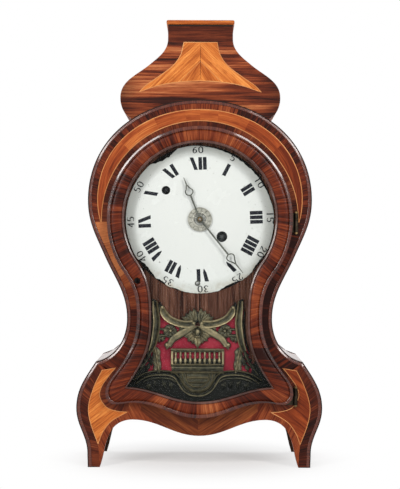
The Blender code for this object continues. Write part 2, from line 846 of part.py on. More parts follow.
def make_dial_group():
    mask = closed_loop(shifted(sight_half, OPENING_MARGIN + MASK_LAP))
    sound = closed_loop(between(shifted(sight_half, -SOUND_MARGIN), 0.0, SOUND_TOP))
    board = piece(
        "dial_board", slab([mask, circle(MASK_HOLE_R, dial_centre, 32), sound], mask_front, mask_back), carcass
    )
    cut(
        board,
        block(-0.2, LATCH_X + 3.0 * SPINDLE_R, mask_front - 0.001, mask_back + 0.001,
              LATCH_Z - BLADE_LENGTH - 0.004, LATCH_Z + BLADE_LENGTH + 0.004),
    )

    cloth_back = mask_front - GAP
    top = fret_top()
    edge = between(shifted(sight_half, -FRET_MARGIN), 0.0, top[-1].y - 0.002)
    fret_half = top + edge
    cloth_front = cloth_back - CLOTH_T
    fret_back = cloth_front - GAP
    piece("fret", slab([closed_loop(fret_half), *fret_windows()], fret_back - FRET_T, fret_back), bronze)
    cloth_edge = between(shifted(sight_half, -FRET_MARGIN - CLOTH_MARGIN), CLOTH_FOOT_Z, top[-1].y - 0.004)
    cloth_top = [p - Vector((0.0, 2 * CLOTH_MARGIN)) for p in top]
    cloth_half = cloth_top + cloth_edge + [Vector((0.0, CLOTH_FOOT_Z))]
    piece("fret_cloth", slab([closed_loop(cloth_half)], cloth_front, cloth_back), crimson)

    hole = ALARM_PIPE_R + 0.0005
    front = []
    back = []
    for i in range(4):
        radius = hole + (DIAL_R - hole) * i / 3
        rise = DIAL_DOME * (1 - (radius / DIAL_R) ** 2)
        front.append((radius, dial_rim - rise))
        back.append((radius, dial_back - rise))
    dial = piece("dial", turned(front + back[::-1], 40, dial_centre), enamel)
    for centre, radius in ((going_centre, 0.0071), (alarm_centre, 0.0056)):
        cut(dial, rod(radius, dial_nose - 0.002, dial_back + 0.002, centre, 14))
    for angle in DIAL_FOOT_ANGLES:
        foot = polar(DIAL_FOOT_RADIUS, angle, dial_centre)
        join(dial, rod(DIAL_FOOT_R, dial_rim - DIAL_DOME * 0.5, plate_front + PLATE_T, foot))


# Toothed wheels
def pitch_radius(teeth, other, distance):
    return distance * teeth / (teeth + other)


def wheel_loop(teeth, other, distance, centre, phase):
    module = 2 * distance / (teeth + other)
    radius = pitch_radius(teeth, other, distance)
    step = 360 / teeth
    loop = []
    for k in range(teeth):
        way = phase + k * step
        loop.append(polar(radius - 1.8 * module, way - step / 2, centre))
        loop.append(polar(radius + 0.8 * module, way - 0.08 * step, centre))
        loop.append(polar(radius + 0.8 * module, way + 0.08 * step, centre))
    return loop


def pinion_loop(leaves, other, distance, centre, phase):
    module = 2 * distance / (leaves + other)
    radius = pitch_radius(leaves, other, distance)
    root = radius - 1.35 * module
    tip = radius + 0.45 * module
    step = 360 / leaves
    loop = []
    for k in range(leaves):
        for reach, share in ((root, -0.15), (tip, -0.09), (tip, 0.09), (root, 0.15)):
            loop.append(polar(reach, phase + (k + share) * step, centre))
    return loop


def bearing(start, end):
    way = Vector(end) - Vector(start)
    return math.degrees(math.atan2(way.x, way.y))


def meshed_phase(phase, teeth, centre, other, other_centre):
    # The phase that puts a gap of the other wheel opposite a tooth of this one.
    way = bearing(centre, other_centre)
    offset = (phase - way) / (360 / teeth)
    return way + 180 + (360 / other) * (-offset - 0.5)


def crossings(inner, outer, centre, arms=4, arm_half=0.0016):
    # Openings between the arms of a wheel.
    loops = []
    for k in range(arms):
        middle = 360 / arms * (k + 0.5)
        loop = []
        for radius, steps, way in ((inner, 2, 1), (outer, 4, -1)):
            spread = 180 / arms - math.degrees(math.asin(arm_half / radius))
            loop += arc(radius, middle - way * spread, middle + way * spread, centre, steps)
        loops.append(loop)
    return loops


def scape_loop(teeth, tip, centre, phase, depth):
    loop = []
    step = 360 / teeth
    for k in range(teeth):
        way = phase + k * step
        loop.append(polar(tip - depth, way - 0.20 * step, centre))
        loop.append(polar(tip, way, centre))
        loop.append(polar(tip - depth, way + 0.20 * step, centre))
    return loop


def anchor_loop(tip, span, distance, centre, towards):
    # A pair of pallets on an arbor, reaching round a scape wheel that lies towards a bearing.
    scale = tip / 0.017
    near = tip + PALLET_CLEARANCE
    nib = math.degrees(0.0002 / near)
    hub = 0.0036 * scale
    rise = Vector((0.0, distance))
    half = [
        rise + Vector((0.0, hub)),
        rise + Vector((hub, hub * 0.4)),
        Vector((distance * 0.40, distance * 0.88)),
        polar(tip * 1.20, span + 6),
        polar(near, span + nib),
        polar(near, span - nib),
        polar(tip * 1.15, span - 7),
        Vector((distance * 0.20, distance * 0.84)),
        Vector((0.0, distance - hub)),
    ]
    turn = Matrix.Rotation(math.radians(-(towards + 180)), 2)
    wheel = polar(distance, towards, centre)
    return [wheel + turn @ p for p in closed_loop(half)]


def ratchet_loop(tip, centre):
    step = 360 / RATCHET_TEETH
    loop = []
    for k in range(RATCHET_TEETH):
        loop.append(polar(tip, 90 + k * step, centre))
        loop.append(polar(tip - RATCHET_DEPTH, 90 + (k + 0.95) * step, centre))
    return loop


def click_loop(tip, centre):
    # A pawl whose nose rests in one ratchet gap, anticlockwise of its tooth face.
    step = 360 / RATCHET_TEETH
    root = tip - RATCHET_DEPTH
    pivot = click_pivot(tip, centre)
    away = bearing(centre, pivot)
    return [
        polar(root + 0.0009, 90 - 0.25 * step, centre),
        polar(tip + 0.0009, 90 - 0.55 * step, centre),
        polar(0.0025, away + 180, pivot),
        polar(0.0025, away + 240, pivot),
        polar(0.0025, away - 60, pivot),
        polar(0.0025, away, pivot),
        polar(0.0025, away + 50, pivot),
        polar(tip + 0.0031, 90 - 0.5 * step, centre),
        polar(tip + 0.0004, 90 - 0.10 * step, centre),
    ]


def click_pivot(tip, centre):
    return polar(tip + CLICK_REACH, 30, centre)


# Movement
third_centre = polar(CENTRE_DISTANCE, THIRD_ANGLE, dial_centre)
minute_centre = polar(MOTION_DISTANCE, MINUTE_ANGLE, dial_centre)
alarm_escape_centre = polar(ALARM_DISTANCE, ALARM_ESCAPE_ANGLE, alarm_centre)
hammer_distance = PALLET_RISE * ALARM_ESCAPE_R / ESCAPE_R
hammer_centre = polar(hammer_distance, HAMMER_ANGLE, alarm_escape_centre)
lever_centre = dial_centre + Vector((LEVER_X, LEVER_DZ))
great_distance = (going_centre - dial_centre).length
third_to_escape = (escape_centre - third_centre).length

hour_front = dial_nose - DISC_SPACE - ALARM_DISC_T - HAND_SPACE - HAND_T
minute_front = hour_front - HAND_SPACE - HAND_T
nut_front = minute_front - GAP - NUT_T
cam_front = plate_front - 0.0155
hour_wheel_front = plate_front - 0.0105
minute_wheel_front = plate_front - 0.0058
ratchet_front = plate_front - GAP - RATCHET_T


def make_frame():
    half = PLATE_HALF
    outline = [dial_centre + p for p in rectangle(-half, half, -half, half)]
    corner = half - PILLAR_INSET
    pillars = [dial_centre + Vector((sx * corner, sz * corner)) for sx in (-1, 1) for sz in (-1, 1)]
    fine = FINE_ARBOR_R + RUNNING_GAP
    barrel = BARREL_ARBOR_R + RUNNING_GAP
    shared = [
        circle(CENTRE_ARBOR_R + RUNNING_GAP, dial_centre, 12),
        circle(barrel, going_centre, 16),
        circle(barrel, alarm_centre, 16),
    ]
    for centre in (third_centre, escape_centre, alarm_escape_centre, hammer_centre, pallet_centre):
        shared.append(circle(fine, centre, 8))
    front_holes = [circle(CLICK_PIN_R + RUNNING_GAP, click_pivot(GOING_RATCHET_R, going_centre), 10)]
    front_holes.append(circle(CLICK_PIN_R + RUNNING_GAP, click_pivot(ALARM_RATCHET_R, alarm_centre), 10))
    front_holes.append(circle(CLICK_PIN_R + RUNNING_GAP, lever_centre, 10))
    for angle in DIAL_FOOT_ANGLES:
        front_holes.append(circle(DIAL_FOOT_R + GAP, polar(DIAL_FOOT_RADIUS, angle, dial_centre), 10))
    plate = piece("pillar_plate", slab([outline, *shared, *front_holes], plate_front, inside), brass)
    for place in pillars:
        join(
            plate,
            rod(PILLAR_R, inside - 0.001, plates_end, place, 10),
            rod(PILLAR_TENON_R, plates_end - 0.001, back_plate_back + 0.002, place, 8),
        )
    join(plate, rod(CLICK_PIN_R, hour_wheel_front - 0.0010, inside - 0.0005, minute_centre, 10))

    tenons = [circle(PILLAR_TENON_R + GAP, place, 10) for place in pillars]
    piece("back_plate", slab([outline, *shared, *tenons], back_plate_front, back_plate_back), brass)

    seat_top = DIAL_Z - PLATE_HALF - GAP
    seat_half = half_width(inner_side, seat_top - SEAT_T, seat_top) - GAP
    seat_front = mask_back + SEAT_FRONT_SPACE
    piece(
        "seat_board",
        block(-seat_half, seat_half, seat_front, seat_front + SEAT_DEPTH, seat_top - SEAT_T, seat_top),
        carcass,
    )


def make_barrel(name, centre, drum_radius, drum_length, teeth, leaves, distance, turns, ratchet):
    start = inside + DRUM_START
    end = start + drum_length
    hole = BARREL_ARBOR_R + RUNNING_GAP
    inner = drum_radius - DRUM_WALL
    profile = [
        (hole, start), (drum_radius, start), (drum_radius, end + GREAT_T / 2), (hole, end + GREAT_T / 2),
        (hole, end), (inner, end), (inner, start + DRUM_WALL), (hole, start + DRUM_WALL),
    ]
    drum = piece(name + "_barrel", turned(profile, 20, centre), brass, on_axis(centre))
    loop = wheel_loop(teeth, leaves, distance, centre, 0.0)
    middle = (hole + drum_radius) / 2
    join(drum, slab([loop, circle(middle, centre, 16)], end, end + GREAT_T))

    curve = bpy.data.curves.new("spring", "CURVE")
    curve.dimensions = "3D"
    curve.extrude = (drum_length - DRUM_WALL - 0.003) / 2
    spline = curve.splines.new("POLY")
    count = 12 * turns
    spline.points.add(count)
    first = BARREL_ARBOR_R + 0.0015
    last = inner - SPRING_T - GAP
    for i, spot in enumerate(spline.points):
        spot.co = (*polar(first + (last - first) * i / count, 30 * i), 0.0, 1.0)
    holder = bpy.data.objects.new("spring", curve)
    thick = holder.modifiers.new("Solidify", "SOLIDIFY")
    thick.thickness = SPRING_T
    thick.offset = 0.0
    ribbon = evaluated_mesh(holder)
    place = Matrix.Translation((centre[0], (start + DRUM_WALL + end) / 2, centre[1]))
    finish_mesh(ribbon, place @ Matrix.Rotation(math.radians(90), 4, "X"))
    piece(name + "_mainspring", ribbon, steel, on_axis(centre))

    arbor = piece(
        name + "_arbor", rod(BARREL_ARBOR_R, ratchet_front, back_plate_back, centre, 16), steel, on_axis(centre)
    )
    side = WINDING_SQUARE / 2
    square = [Vector(centre) + p for p in rectangle(-side, side, -side, side)]
    join(
        arbor,
        slab([square], dial_back - DIAL_DOME * 0.2, ratchet_front + 0.001),
        slab([ratchet_loop(ratchet, centre)], ratchet_front - 0.0001, ratchet_front + RATCHET_T - 0.0001),
    )
    pivot = click_pivot(ratchet, centre)
    click = piece(
        name + "_click",
        slab([click_loop(ratchet, centre)], ratchet_front, ratchet_front + RATCHET_T),
        steel,
        on_axis(pivot),
    )
    join(click, rod(CLICK_PIN_R, ratchet_front + 0.0005, inside - 0.0005, pivot, 10))


def make_train():
    make_barrel("going", going_centre, GOING_DRUM_R, GOING_DRUM_LENGTH, GREAT_TEETH, CENTRE_LEAVES,
                great_distance, GOING_TURNS, GOING_RATCHET_R)
    make_barrel("alarm", alarm_centre, ALARM_DRUM_R, ALARM_DRUM_LENGTH, ALARM_GREAT_TEETH, ALARM_LEAVES,
                ALARM_DISTANCE, ALARM_TURNS, ALARM_RATCHET_R)

    great = inside + DRUM_START + GOING_DRUM_LENGTH + GREAT_T / 2
    centre_wheel = inside + CENTRE_WHEEL_PLACE
    phase = meshed_phase(0.0, GREAT_TEETH, going_centre, CENTRE_LEAVES, dial_centre)
    arbor = piece(
        "centre_arbor",
        rod(CENTRE_ARBOR_R, nut_front, back_plate_back, dial_centre, 12),
        steel,
        on_axis(dial_centre),
    )
    rim = pitch_radius(CENTRE_TEETH, THIRD_LEAVES, CENTRE_DISTANCE) - 0.0032
    join(
        arbor,
        slab([pinion_loop(CENTRE_LEAVES, GREAT_TEETH, great_distance, dial_centre, phase)],
             great - PINION_T / 2, great + PINION_T / 2),
        slab([wheel_loop(CENTRE_TEETH, THIRD_LEAVES, CENTRE_DISTANCE, dial_centre, 0.0),
              *crossings(0.0065, rim, dial_centre)], centre_wheel, centre_wheel + WHEEL_T),
    )

    third_wheel = inside + THIRD_WHEEL_PLACE
    phase = meshed_phase(0.0, CENTRE_TEETH, dial_centre, THIRD_LEAVES, third_centre)
    arbor = piece(
        "third_arbor",
        rod(FINE_ARBOR_R, plate_front + GAP, back_plate_back, third_centre, 10),
        steel,
        on_axis(third_centre),
    )
    rim = pitch_radius(THIRD_TEETH, ESCAPE_LEAVES, third_to_escape) - 0.0030
    join(
        arbor,
        slab([pinion_loop(THIRD_LEAVES, CENTRE_TEETH, CENTRE_DISTANCE, third_centre, phase)],
             centre_wheel - 0.0015, centre_wheel + 0.0030),
        slab([wheel_loop(THIRD_TEETH, ESCAPE_LEAVES, third_to_escape, third_centre, 0.0),
              *crossings(0.0045, rim, third_centre)], third_wheel, third_wheel + WHEEL_T),
    )

    scape = inside + ESCAPE_WHEEL_PLACE
    phase = meshed_phase(0.0, THIRD_TEETH, third_centre, ESCAPE_LEAVES, escape_centre)
    arbor = piece(
        "escape_arbor",
        rod(FINE_ARBOR_R, plate_front + GAP, back_plate_back, escape_centre, 10),
        steel,
        on_axis(escape_centre),
    )
    join(
        arbor,
        slab([pinion_loop(ESCAPE_LEAVES, THIRD_TEETH, third_to_escape, escape_centre, phase)],
             third_wheel - 0.0010, third_wheel + 0.0030),
        slab([scape_loop(ESCAPE_TEETH, ESCAPE_R, escape_centre, 0.0, 0.0028),
              *crossings(0.0040, ESCAPE_R - 0.0050, escape_centre)], scape, scape + WHEEL_T),
    )
    make_pallets(scape)

    great = inside + DRUM_START + ALARM_DRUM_LENGTH + GREAT_T / 2
    phase = meshed_phase(0.0, ALARM_GREAT_TEETH, alarm_centre, ALARM_LEAVES, alarm_escape_centre)
    scape = inside + ALARM_ESCAPE_PLACE
    arbor = piece(
        "alarm_escape_arbor",
        rod(FINE_ARBOR_R, plate_front + GAP, back_plate_back, alarm_escape_centre, 10),
        steel,
        on_axis(alarm_escape_centre),
    )
    join(
        arbor,
        slab([pinion_loop(ALARM_LEAVES, ALARM_GREAT_TEETH, ALARM_DISTANCE, alarm_escape_centre, phase)],
             great - PINION_T / 2, great + PINION_T / 2),
        slab([scape_loop(ALARM_ESCAPE_TEETH, ALARM_ESCAPE_R, alarm_escape_centre, HAMMER_ANGLE, 0.0030)],
             scape, scape + WHEEL_T),
    )
    make_hammer(scape)


def make_pallets(scape):
    crutch_y = back_plate_back + 0.0042
    rod_y = back_plate_back + PENDULUM_SETBACK
    cock_front = back_plate_back + COCK_SPACE
    x, z = pallet_centre
    arbor = piece(
        "pallet_arbor",
        rod(FINE_ARBOR_R, plate_front + GAP, cock_front + 0.0012, pallet_centre, 10),
        steel,
        on_axis(pallet_centre),
    )
    span = ESCAPE_SPAN * 360 / ESCAPE_TEETH
    loop_z = z - CRUTCH_LENGTH
    loop_r = ROD_R + 0.0020
    join(
        arbor,
        slab([anchor_loop(ESCAPE_R, span, PALLET_RISE, pallet_centre, 180)], scape - 0.0015, scape + 0.0030),
        rod(0.0028, crutch_y - 0.0014, crutch_y + 0.0014, pallet_centre, 12),
        tube_along([(x, crutch_y, z), (x, crutch_y, loop_z), (x, rod_y - loop_r, loop_z)], 0.0010),
        torus((x, rod_y, loop_z), loop_r, 0.0007, True),
    )

    cock = piece(
        "back_cock",
        slab([rectangle(-COCK_HALF, COCK_HALF, z - 0.0060, z + 0.0060)], cock_front, cock_front + COCK_T),
        brass,
    )
    for inner, outer in ((-COCK_HALF, -COCK_HALF + 0.005), (COCK_HALF - 0.005, COCK_HALF)):
        join(cock, block(inner, outer, back_plate_back + GAP, cock_front + 0.001, z - 0.0058, z + 0.0058))
    join(cock, rod(STUD_R, cock_front + COCK_T - 0.0005, rod_y + 0.0030, pallet_centre, 12))
    cut(cock, rod(FINE_ARBOR_R + RUNNING_GAP, cock_front - 0.001, cock_front + 0.0016, pallet_centre, 10))
    make_pendulum(rod_y)


def make_pendulum(rod_y):
    x, z = pallet_centre
    bob_z = z - PENDULUM_LENGTH
    nut_top = bob_z - BOB_R - GAP
    rod_end = nut_top - RATING_NUT_T - 0.006
    eye_minor = 0.0009
    eye_major = STUD_R + RUNNING_GAP + eye_minor
    pendulum = piece(
        "pendulum_rod",
        column([circle(ROD_R, (x, rod_y), 10)], rod_end, z - eye_major),
        steel,
        on_axis(pallet_centre),
    )
    join(pendulum, torus((x, rod_y, z), eye_major, eye_minor, False))
    half = BOB_T / 2
    profile = [(0.0, rod_y - half)]
    for angle in range(25, 76, 25):
        profile.append((BOB_R * math.sin(math.radians(angle)), rod_y - half * math.cos(math.radians(angle))))
    profile.append((BOB_R, rod_y - 0.0006))
    profile += [(radius, 2 * rod_y - place) for radius, place in profile[::-1]]
    bob = piece("pendulum_bob", turned(profile, 20, (x, bob_z), ring=False), brass, on_axis(pallet_centre))
    bore = [circle(ROD_R + GAP, (x, rod_y), 10)]
    cut(bob, column(bore, bob_z - BOB_R - 0.002, bob_z + BOB_R + 0.002))
    piece(
        "rating_nut",
        column([circle(RATING_NUT_R, (x, rod_y), 16), *bore], nut_top - RATING_NUT_T, nut_top),
        brass,
        (x, rod_y, nut_top),
    )


def make_hammer(scape):
    arm_y = back_plate_back + 0.0052
    x, z = hammer_centre
    bell_low = DIAL_Z + PLATE_HALF + BELL_RISE
    head_z = bell_low + HAMMER_HEAD_R + 0.0005
    swing = math.radians(HAMMER_SWING)
    contact = -BELL_R - GAP - HAMMER_HEAD_R
    head_x = x + (contact - x - (head_z - z) * math.sin(swing)) / math.cos(swing)
    arbor = piece(
        "alarm_hammer",
        rod(FINE_ARBOR_R, cam_front, arm_y, hammer_centre, 10),
        steel,
        on_axis(hammer_centre),
    )
    span = ALARM_SPAN * 360 / ALARM_ESCAPE_TEETH
    stop = [
        polar(0.0024, 40, hammer_centre), polar(0.0024, 220, hammer_centre), polar(0.0100, 140, hammer_centre),
        polar(0.0105, 125, hammer_centre),
    ]
    join(
        arbor,
        slab([anchor_loop(ALARM_ESCAPE_R, span, hammer_distance, hammer_centre, HAMMER_ANGLE - 180)],
             scape - 0.0015, scape + 0.0030),
        slab([stop], cam_front - 0.0001, cam_front + WHEEL_T),
        rod(0.0026, arm_y - 0.0014, arm_y + 0.0014, hammer_centre, 12),
        tube_along([(x, arm_y, z), (head_x, arm_y, head_z)], 0.0011),
        rod(HAMMER_HEAD_R, arm_y - 0.0040, arm_y + 0.0040, (head_x, head_z), 14),
    )

    bell_y = arm_y
    top = bell_low + BELL_H
    outer = [(BELL_R, bell_low), (BELL_R * 0.93, bell_low + BELL_H * 0.30), (BELL_R * 0.86, bell_low + BELL_H * 0.55)]
    outer += [(BELL_R * 0.66, bell_low + BELL_H * 0.83), (BELL_R * 0.36, bell_low + BELL_H * 0.96)]
    outer.append((STAND_R + GAP, top))
    inner = [(STAND_R + GAP, top - BELL_WALL)]
    inner += [(radius - BELL_WALL * 0.7, height - BELL_WALL) for radius, height in outer[-2:0:-1]]
    inner.append((BELL_R - BELL_WALL, bell_low))
    piece("bell", turned(outer + inner, 20, (0.0, bell_y), upright=True), brass)
    elbow = bell_low - 0.0060
    foot_z = DIAL_Z + PLATE_HALF - 0.0080
    stand = piece(
        "bell_stand",
        tube_along(
            [
                (STAND_X, back_plate_back + GAP, foot_z), (STAND_X, bell_y, foot_z), (STAND_X, bell_y, elbow),
                (0.0, bell_y, elbow), (0.0, bell_y, top + 0.0050),
            ],
            STAND_R,
        ),
        steel,
    )
    seat = top - BELL_WALL - 3 * GAP
    join(stand, column([circle(STAND_R * 2, (0.0, bell_y), 14)], seat - 0.003, seat))


def make_motion_work():
    minute_phase = meshed_phase(0.0, CANNON_TEETH, dial_centre, MINUTE_TEETH, minute_centre)
    bore = CENTRE_ARBOR_R + RUNNING_GAP
    cannon = piece(
        "cannon_pinion",
        slab([circle(CANNON_R, dial_centre, 14), circle(bore, dial_centre, 12)],
             minute_front, plate_front - 0.0020),
        steel,
        on_axis(dial_centre),
    )
    middle = (CANNON_R + bore) / 2
    join(
        cannon,
        slab([pinion_loop(CANNON_TEETH, MINUTE_TEETH, MOTION_DISTANCE, dial_centre, 0.0),
              circle(middle, dial_centre, 14)], plate_front - 0.0070, plate_front - 0.0030),
    )
    stud = CLICK_PIN_R + RUNNING_GAP
    minute = piece(
        "minute_wheel",
        slab([wheel_loop(MINUTE_TEETH, CANNON_TEETH, MOTION_DISTANCE, minute_centre, minute_phase),
              circle(stud, minute_centre, 12)], minute_wheel_front, minute_wheel_front + WHEEL_T),
        brass,
        on_axis(minute_centre),
    )
    join(
        minute,
        slab([pinion_loop(MINUTE_LEAVES, HOUR_TEETH, MOTION_DISTANCE, minute_centre, 0.0),
              circle(stud + 0.00008, minute_centre, 12)],
             hour_wheel_front - 0.0008, minute_wheel_front + WHEEL_T / 2),
    )
    hour_phase = meshed_phase(0.0, MINUTE_LEAVES, minute_centre, HOUR_TEETH, dial_centre)
    pipe_bore = CANNON_R + RUNNING_GAP
    hour = piece(
        "hour_wheel",
        slab([circle(HOUR_PIPE_R, dial_centre, 16), circle(pipe_bore, dial_centre, 14)],
             hour_front - GAP, hour_wheel_front + WHEEL_T - 0.0002),
        brass,
        on_axis(dial_centre),
    )
    middle = (HOUR_PIPE_R + pipe_bore) / 2
    join(
        hour,
        slab([wheel_loop(HOUR_TEETH, MINUTE_LEAVES, MOTION_DISTANCE, dial_centre, hour_phase),
              circle(middle, dial_centre, 16)], hour_wheel_front, hour_wheel_front + WHEEL_T),
    )
    make_alarm_disc()
    make_hands()


def make_alarm_disc():
    bore = HOUR_PIPE_R + RUNNING_GAP
    disc_back = dial_nose - DISC_SPACE
    disc = piece(
        "alarm_disc",
        slab([circle(ALARM_PIPE_R, dial_centre, 16), circle(bore, dial_centre, 16)],
             disc_back - ALARM_DISC_T - 0.0001, cam_front + WHEEL_T),
        pewter,
        on_axis(dial_centre),
    )
    middle = (ALARM_PIPE_R + bore) / 2
    slots = []
    for start, end in ((24, 114), (126, 286), (300, 372)):
        slots.append(arc(0.0080, start, end, dial_centre, 4) + arc(0.0060, end, start, dial_centre, 4))
    cam = arc(ALARM_CAM_R, 0, 300, dial_centre, 12) + [polar(ALARM_CAM_R * 0.75, 330, dial_centre)]
    join(
        disc,
        slab([circle(ALARM_DISC_R, dial_centre, 28), circle(middle, dial_centre, 16), *slots],
             disc_back - ALARM_DISC_T, disc_back),
        slab([cam, circle(middle, dial_centre, 16)], cam_front, cam_front + WHEEL_T - 0.0002),
    )

    nose = polar(ALARM_CAM_R + GAP, LEVER_CONTACT, dial_centre)
    tail = hammer_centre + Vector((0.0120, -0.0120))
    side = Vector((0.0010, 0.0010))
    lever = [
        nose,
        lever_centre + Vector((0.0, 0.0034)),
        tail + side,
        tail - side,
        lever_centre - Vector((0.0012, 0.0034)),
        lever_centre + Vector((0.0012, -0.0034)),
    ]
    made = piece("alarm_lever", slab([lever], cam_front, cam_front + WHEEL_T), steel, on_axis(lever_centre))
    join(made, rod(CLICK_PIN_R, cam_front + 0.0004, inside - 0.0005, lever_centre, 10))


def hand_loops(length, hub, bore, loop_start, loop_end, loop_half, angle):
    # A pointer with a pear-shaped loop near its tip.
    middle = (loop_start + loop_end) / 2
    stem = 0.0008
    wire = 0.0016
    half = [
        Vector((0.0003, length)),
        Vector((stem, loop_end + 0.0015)),
        Vector((loop_half * 0.62, loop_end - 0.0030)),
        Vector((loop_half, middle - 0.0010)),
        Vector((loop_half * 0.70, loop_start + 0.0028)),
        Vector((stem, loop_start)),
    ]
    half += arc(hub, math.degrees(math.asin(stem / hub)), 180, (0, 0), 8)
    eye = [
        Vector((0.0, loop_end - 0.0015)),
        Vector((loop_half * 0.62 - wire * 0.8, loop_end - 0.0042)),
        Vector((loop_half - wire, middle - 0.0010)),
        Vector((loop_half * 0.70 - wire * 0.8, loop_start + 0.0042)),
        Vector((0.0, loop_start + 0.0026)),
    ]
    turn = Matrix.Rotation(math.radians(-angle), 2)
    loops = [half + mirrored(half[:-1]), eye + mirrored(eye[1:-1]), circle(bore, sides=14)]
    return [[dial_centre + turn @ p for p in loop] for loop in loops]


def make_hands():
    hour = hand_loops(HOUR_LENGTH, 0.0052, HOUR_PIPE_R + GAP, 0.0335, 0.0510, 0.0060, HOUR_ANGLE)
    piece("hour_hand", slab(hour, hour_front, hour_front + HAND_T), steel, on_axis(dial_centre))
    minute = hand_loops(MINUTE_LENGTH, 0.0042, CANNON_R + GAP, 0.0570, 0.0800, 0.0048, MINUTE_HAND_ANGLE)
    piece("minute_hand", slab(minute, minute_front, minute_front + HAND_T), steel, on_axis(dial_centre))
    nut = [circle(NUT_R, dial_centre, 16), circle(CENTRE_ARBOR_R + GAP, dial_centre, 12)]
    piece("hand_nut", slab(nut, nut_front + GAP, minute_front - GAP), brass, on_axis(dial_centre))


make_case()
make_crest()
make_door()
make_dial_group()
make_frame()
make_train()
make_motion_work()
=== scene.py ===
import itertools
import json
import math
import random

import bmesh
import bpy
from mathutils import Matrix, Quaternion, Vector, noise


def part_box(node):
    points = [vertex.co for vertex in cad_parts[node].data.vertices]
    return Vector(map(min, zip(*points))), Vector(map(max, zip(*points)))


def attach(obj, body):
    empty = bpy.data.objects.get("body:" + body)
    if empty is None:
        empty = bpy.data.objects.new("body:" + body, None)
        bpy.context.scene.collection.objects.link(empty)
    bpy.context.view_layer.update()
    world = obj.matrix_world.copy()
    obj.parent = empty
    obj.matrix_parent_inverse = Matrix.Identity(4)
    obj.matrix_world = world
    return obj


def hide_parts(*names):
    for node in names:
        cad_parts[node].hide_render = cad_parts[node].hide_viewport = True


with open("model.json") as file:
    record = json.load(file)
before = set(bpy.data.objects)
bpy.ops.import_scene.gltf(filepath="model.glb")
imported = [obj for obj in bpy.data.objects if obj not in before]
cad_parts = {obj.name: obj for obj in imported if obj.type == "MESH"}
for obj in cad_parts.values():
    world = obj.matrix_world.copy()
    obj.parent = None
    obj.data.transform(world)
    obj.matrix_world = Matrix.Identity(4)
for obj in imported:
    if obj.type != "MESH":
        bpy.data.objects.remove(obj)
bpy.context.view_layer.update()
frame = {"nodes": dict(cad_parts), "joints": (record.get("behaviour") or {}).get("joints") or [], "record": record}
nodes = frame["nodes"]
print("frame loaded with", len(nodes), "nodes")


def depthOf(node):
    low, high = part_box(node)
    return low.y, high.y


# places read from the frame, front is -Y
doorFront, doorBack = depthOf("door_frame")
boardFront, boardBack = depthOf("front_board")
sideFront, sideBack = depthOf("left_side")
crestFront, crestRear = depthOf("crest_front")
fretRear = depthOf("fret")[1]
clothFront, clothRear = depthOf("fret_cloth")
jointPlace = {joint["name"]: Vector(joint["pos_m"]) for joint in frame["joints"]}
dialCentre = Vector((jointPlace["minute_turn"].x, jointPlace["minute_turn"].z))


# lines in the front plane, as x and z
def polar(radius, degrees, centre=(0.0, 0.0)):
    angle = math.radians(degrees)
    return Vector((centre[0] + radius * math.sin(angle), centre[1] + radius * math.cos(angle)))


def arcLine(radius, start, end, centre, steps):
    return [polar(radius, start + (end - start) * i / steps, centre) for i in range(steps + 1)]


def smoothLine(stations, steps=16, pull=0.38):
    # a station is x, z, heading on arrival and, at a corner, heading on leaving
    points = []
    for start, end in zip(stations, stations[1:]):
        a, b = Vector(start[:2]), Vector(end[:2])
        reach = (b - a).length * pull
        leave, arrive = math.radians(start[-1]), math.radians(end[2])
        c = a + reach * Vector((math.cos(leave), math.sin(leave)))
        d = b - reach * Vector((math.cos(arrive), math.sin(arrive)))
        for i in range(steps):
            t = i / steps
            s = 1 - t
            points.append(a * s ** 3 + c * 3 * t * s ** 2 + d * 3 * t * t * s + b * t ** 3)
    return points + [Vector(stations[-1][:2])]


def throughPoints(spots, steps=8):
    # a smooth line through every spot
    spots = [Vector(spot) for spot in spots]
    spread = [spots[0] * 2 - spots[1]] + spots + [spots[-1] * 2 - spots[-2]]
    points = []
    for a, b, c, d in zip(spread, spread[1:], spread[2:], spread[3:]):
        for i in range(steps):
            t = i / steps
            square = (2 * a - 5 * b + 4 * c - d) * t * t
            cube = (3 * b - a - 3 * c + d) * t ** 3
            points.append(0.5 * (2 * b + (c - a) * t + square + cube))
    return points + [spots[-1]]


def evenly(points, count):
    # the same line with count points at equal distances
    marks = [0.0]
    for a, b in zip(points, points[1:]):
        marks.append(marks[-1] + (b - a).length)
    out = []
    k = 0
    for i in range(count):
        want = marks[-1] * i / (count - 1)
        while k < len(points) - 2 and marks[k + 1] < want:
            k += 1
        span = marks[k + 1] - marks[k]
        out.append(points[k].lerp(points[k + 1], (want - marks[k]) / span if span > 0 else 0.0))
    return out


def offsetLine(points, distance, ring=False):
    # moves a clockwise line outwards, mitred, with as many points as before
    out = []
    count = len(points)
    for i, point in enumerate(points):
        before = points[i - 1] if (i or ring) else None
        after = points[(i + 1) % count] if (i + 1 < count or ring) else None
        if before is None and abs(point.x) < 1e-6:
            before = Vector((-after.x, after.y))
        if after is None and abs(point.x) < 1e-6:
            after = Vector((-before.x, before.y))
        normals = []
        for a, b in ((before, point), (point, after)):
            if a is not None and b is not None:
                way = (b - a).normalized()
                normals.append(Vector((-way.y, way.x)))
        total = normals[0] + normals[-1]
        out.append(point + total * (2 * distance / max(total.length_squared, 0.6)))
    return out


def flipX(points):
    return [Vector((-p.x, p.y)) for p in reversed(points)]


def wholeRing(half):
    # right half, top to foot on the centre line, with its mirror image
    return half + [p for p in flipX(half) if p.x < -1e-6]


def nearest(points, x, z):
    return min(range(len(points)), key=lambda i: (points[i] - Vector((x, z))).length)


def crosswise(points, i):
    # unit vector to the left of a line at one of its points
    way = (points[min(i + 1, len(points) - 1)] - points[max(i - 1, 0)]).normalized()
    return Vector((-way.y, way.x))


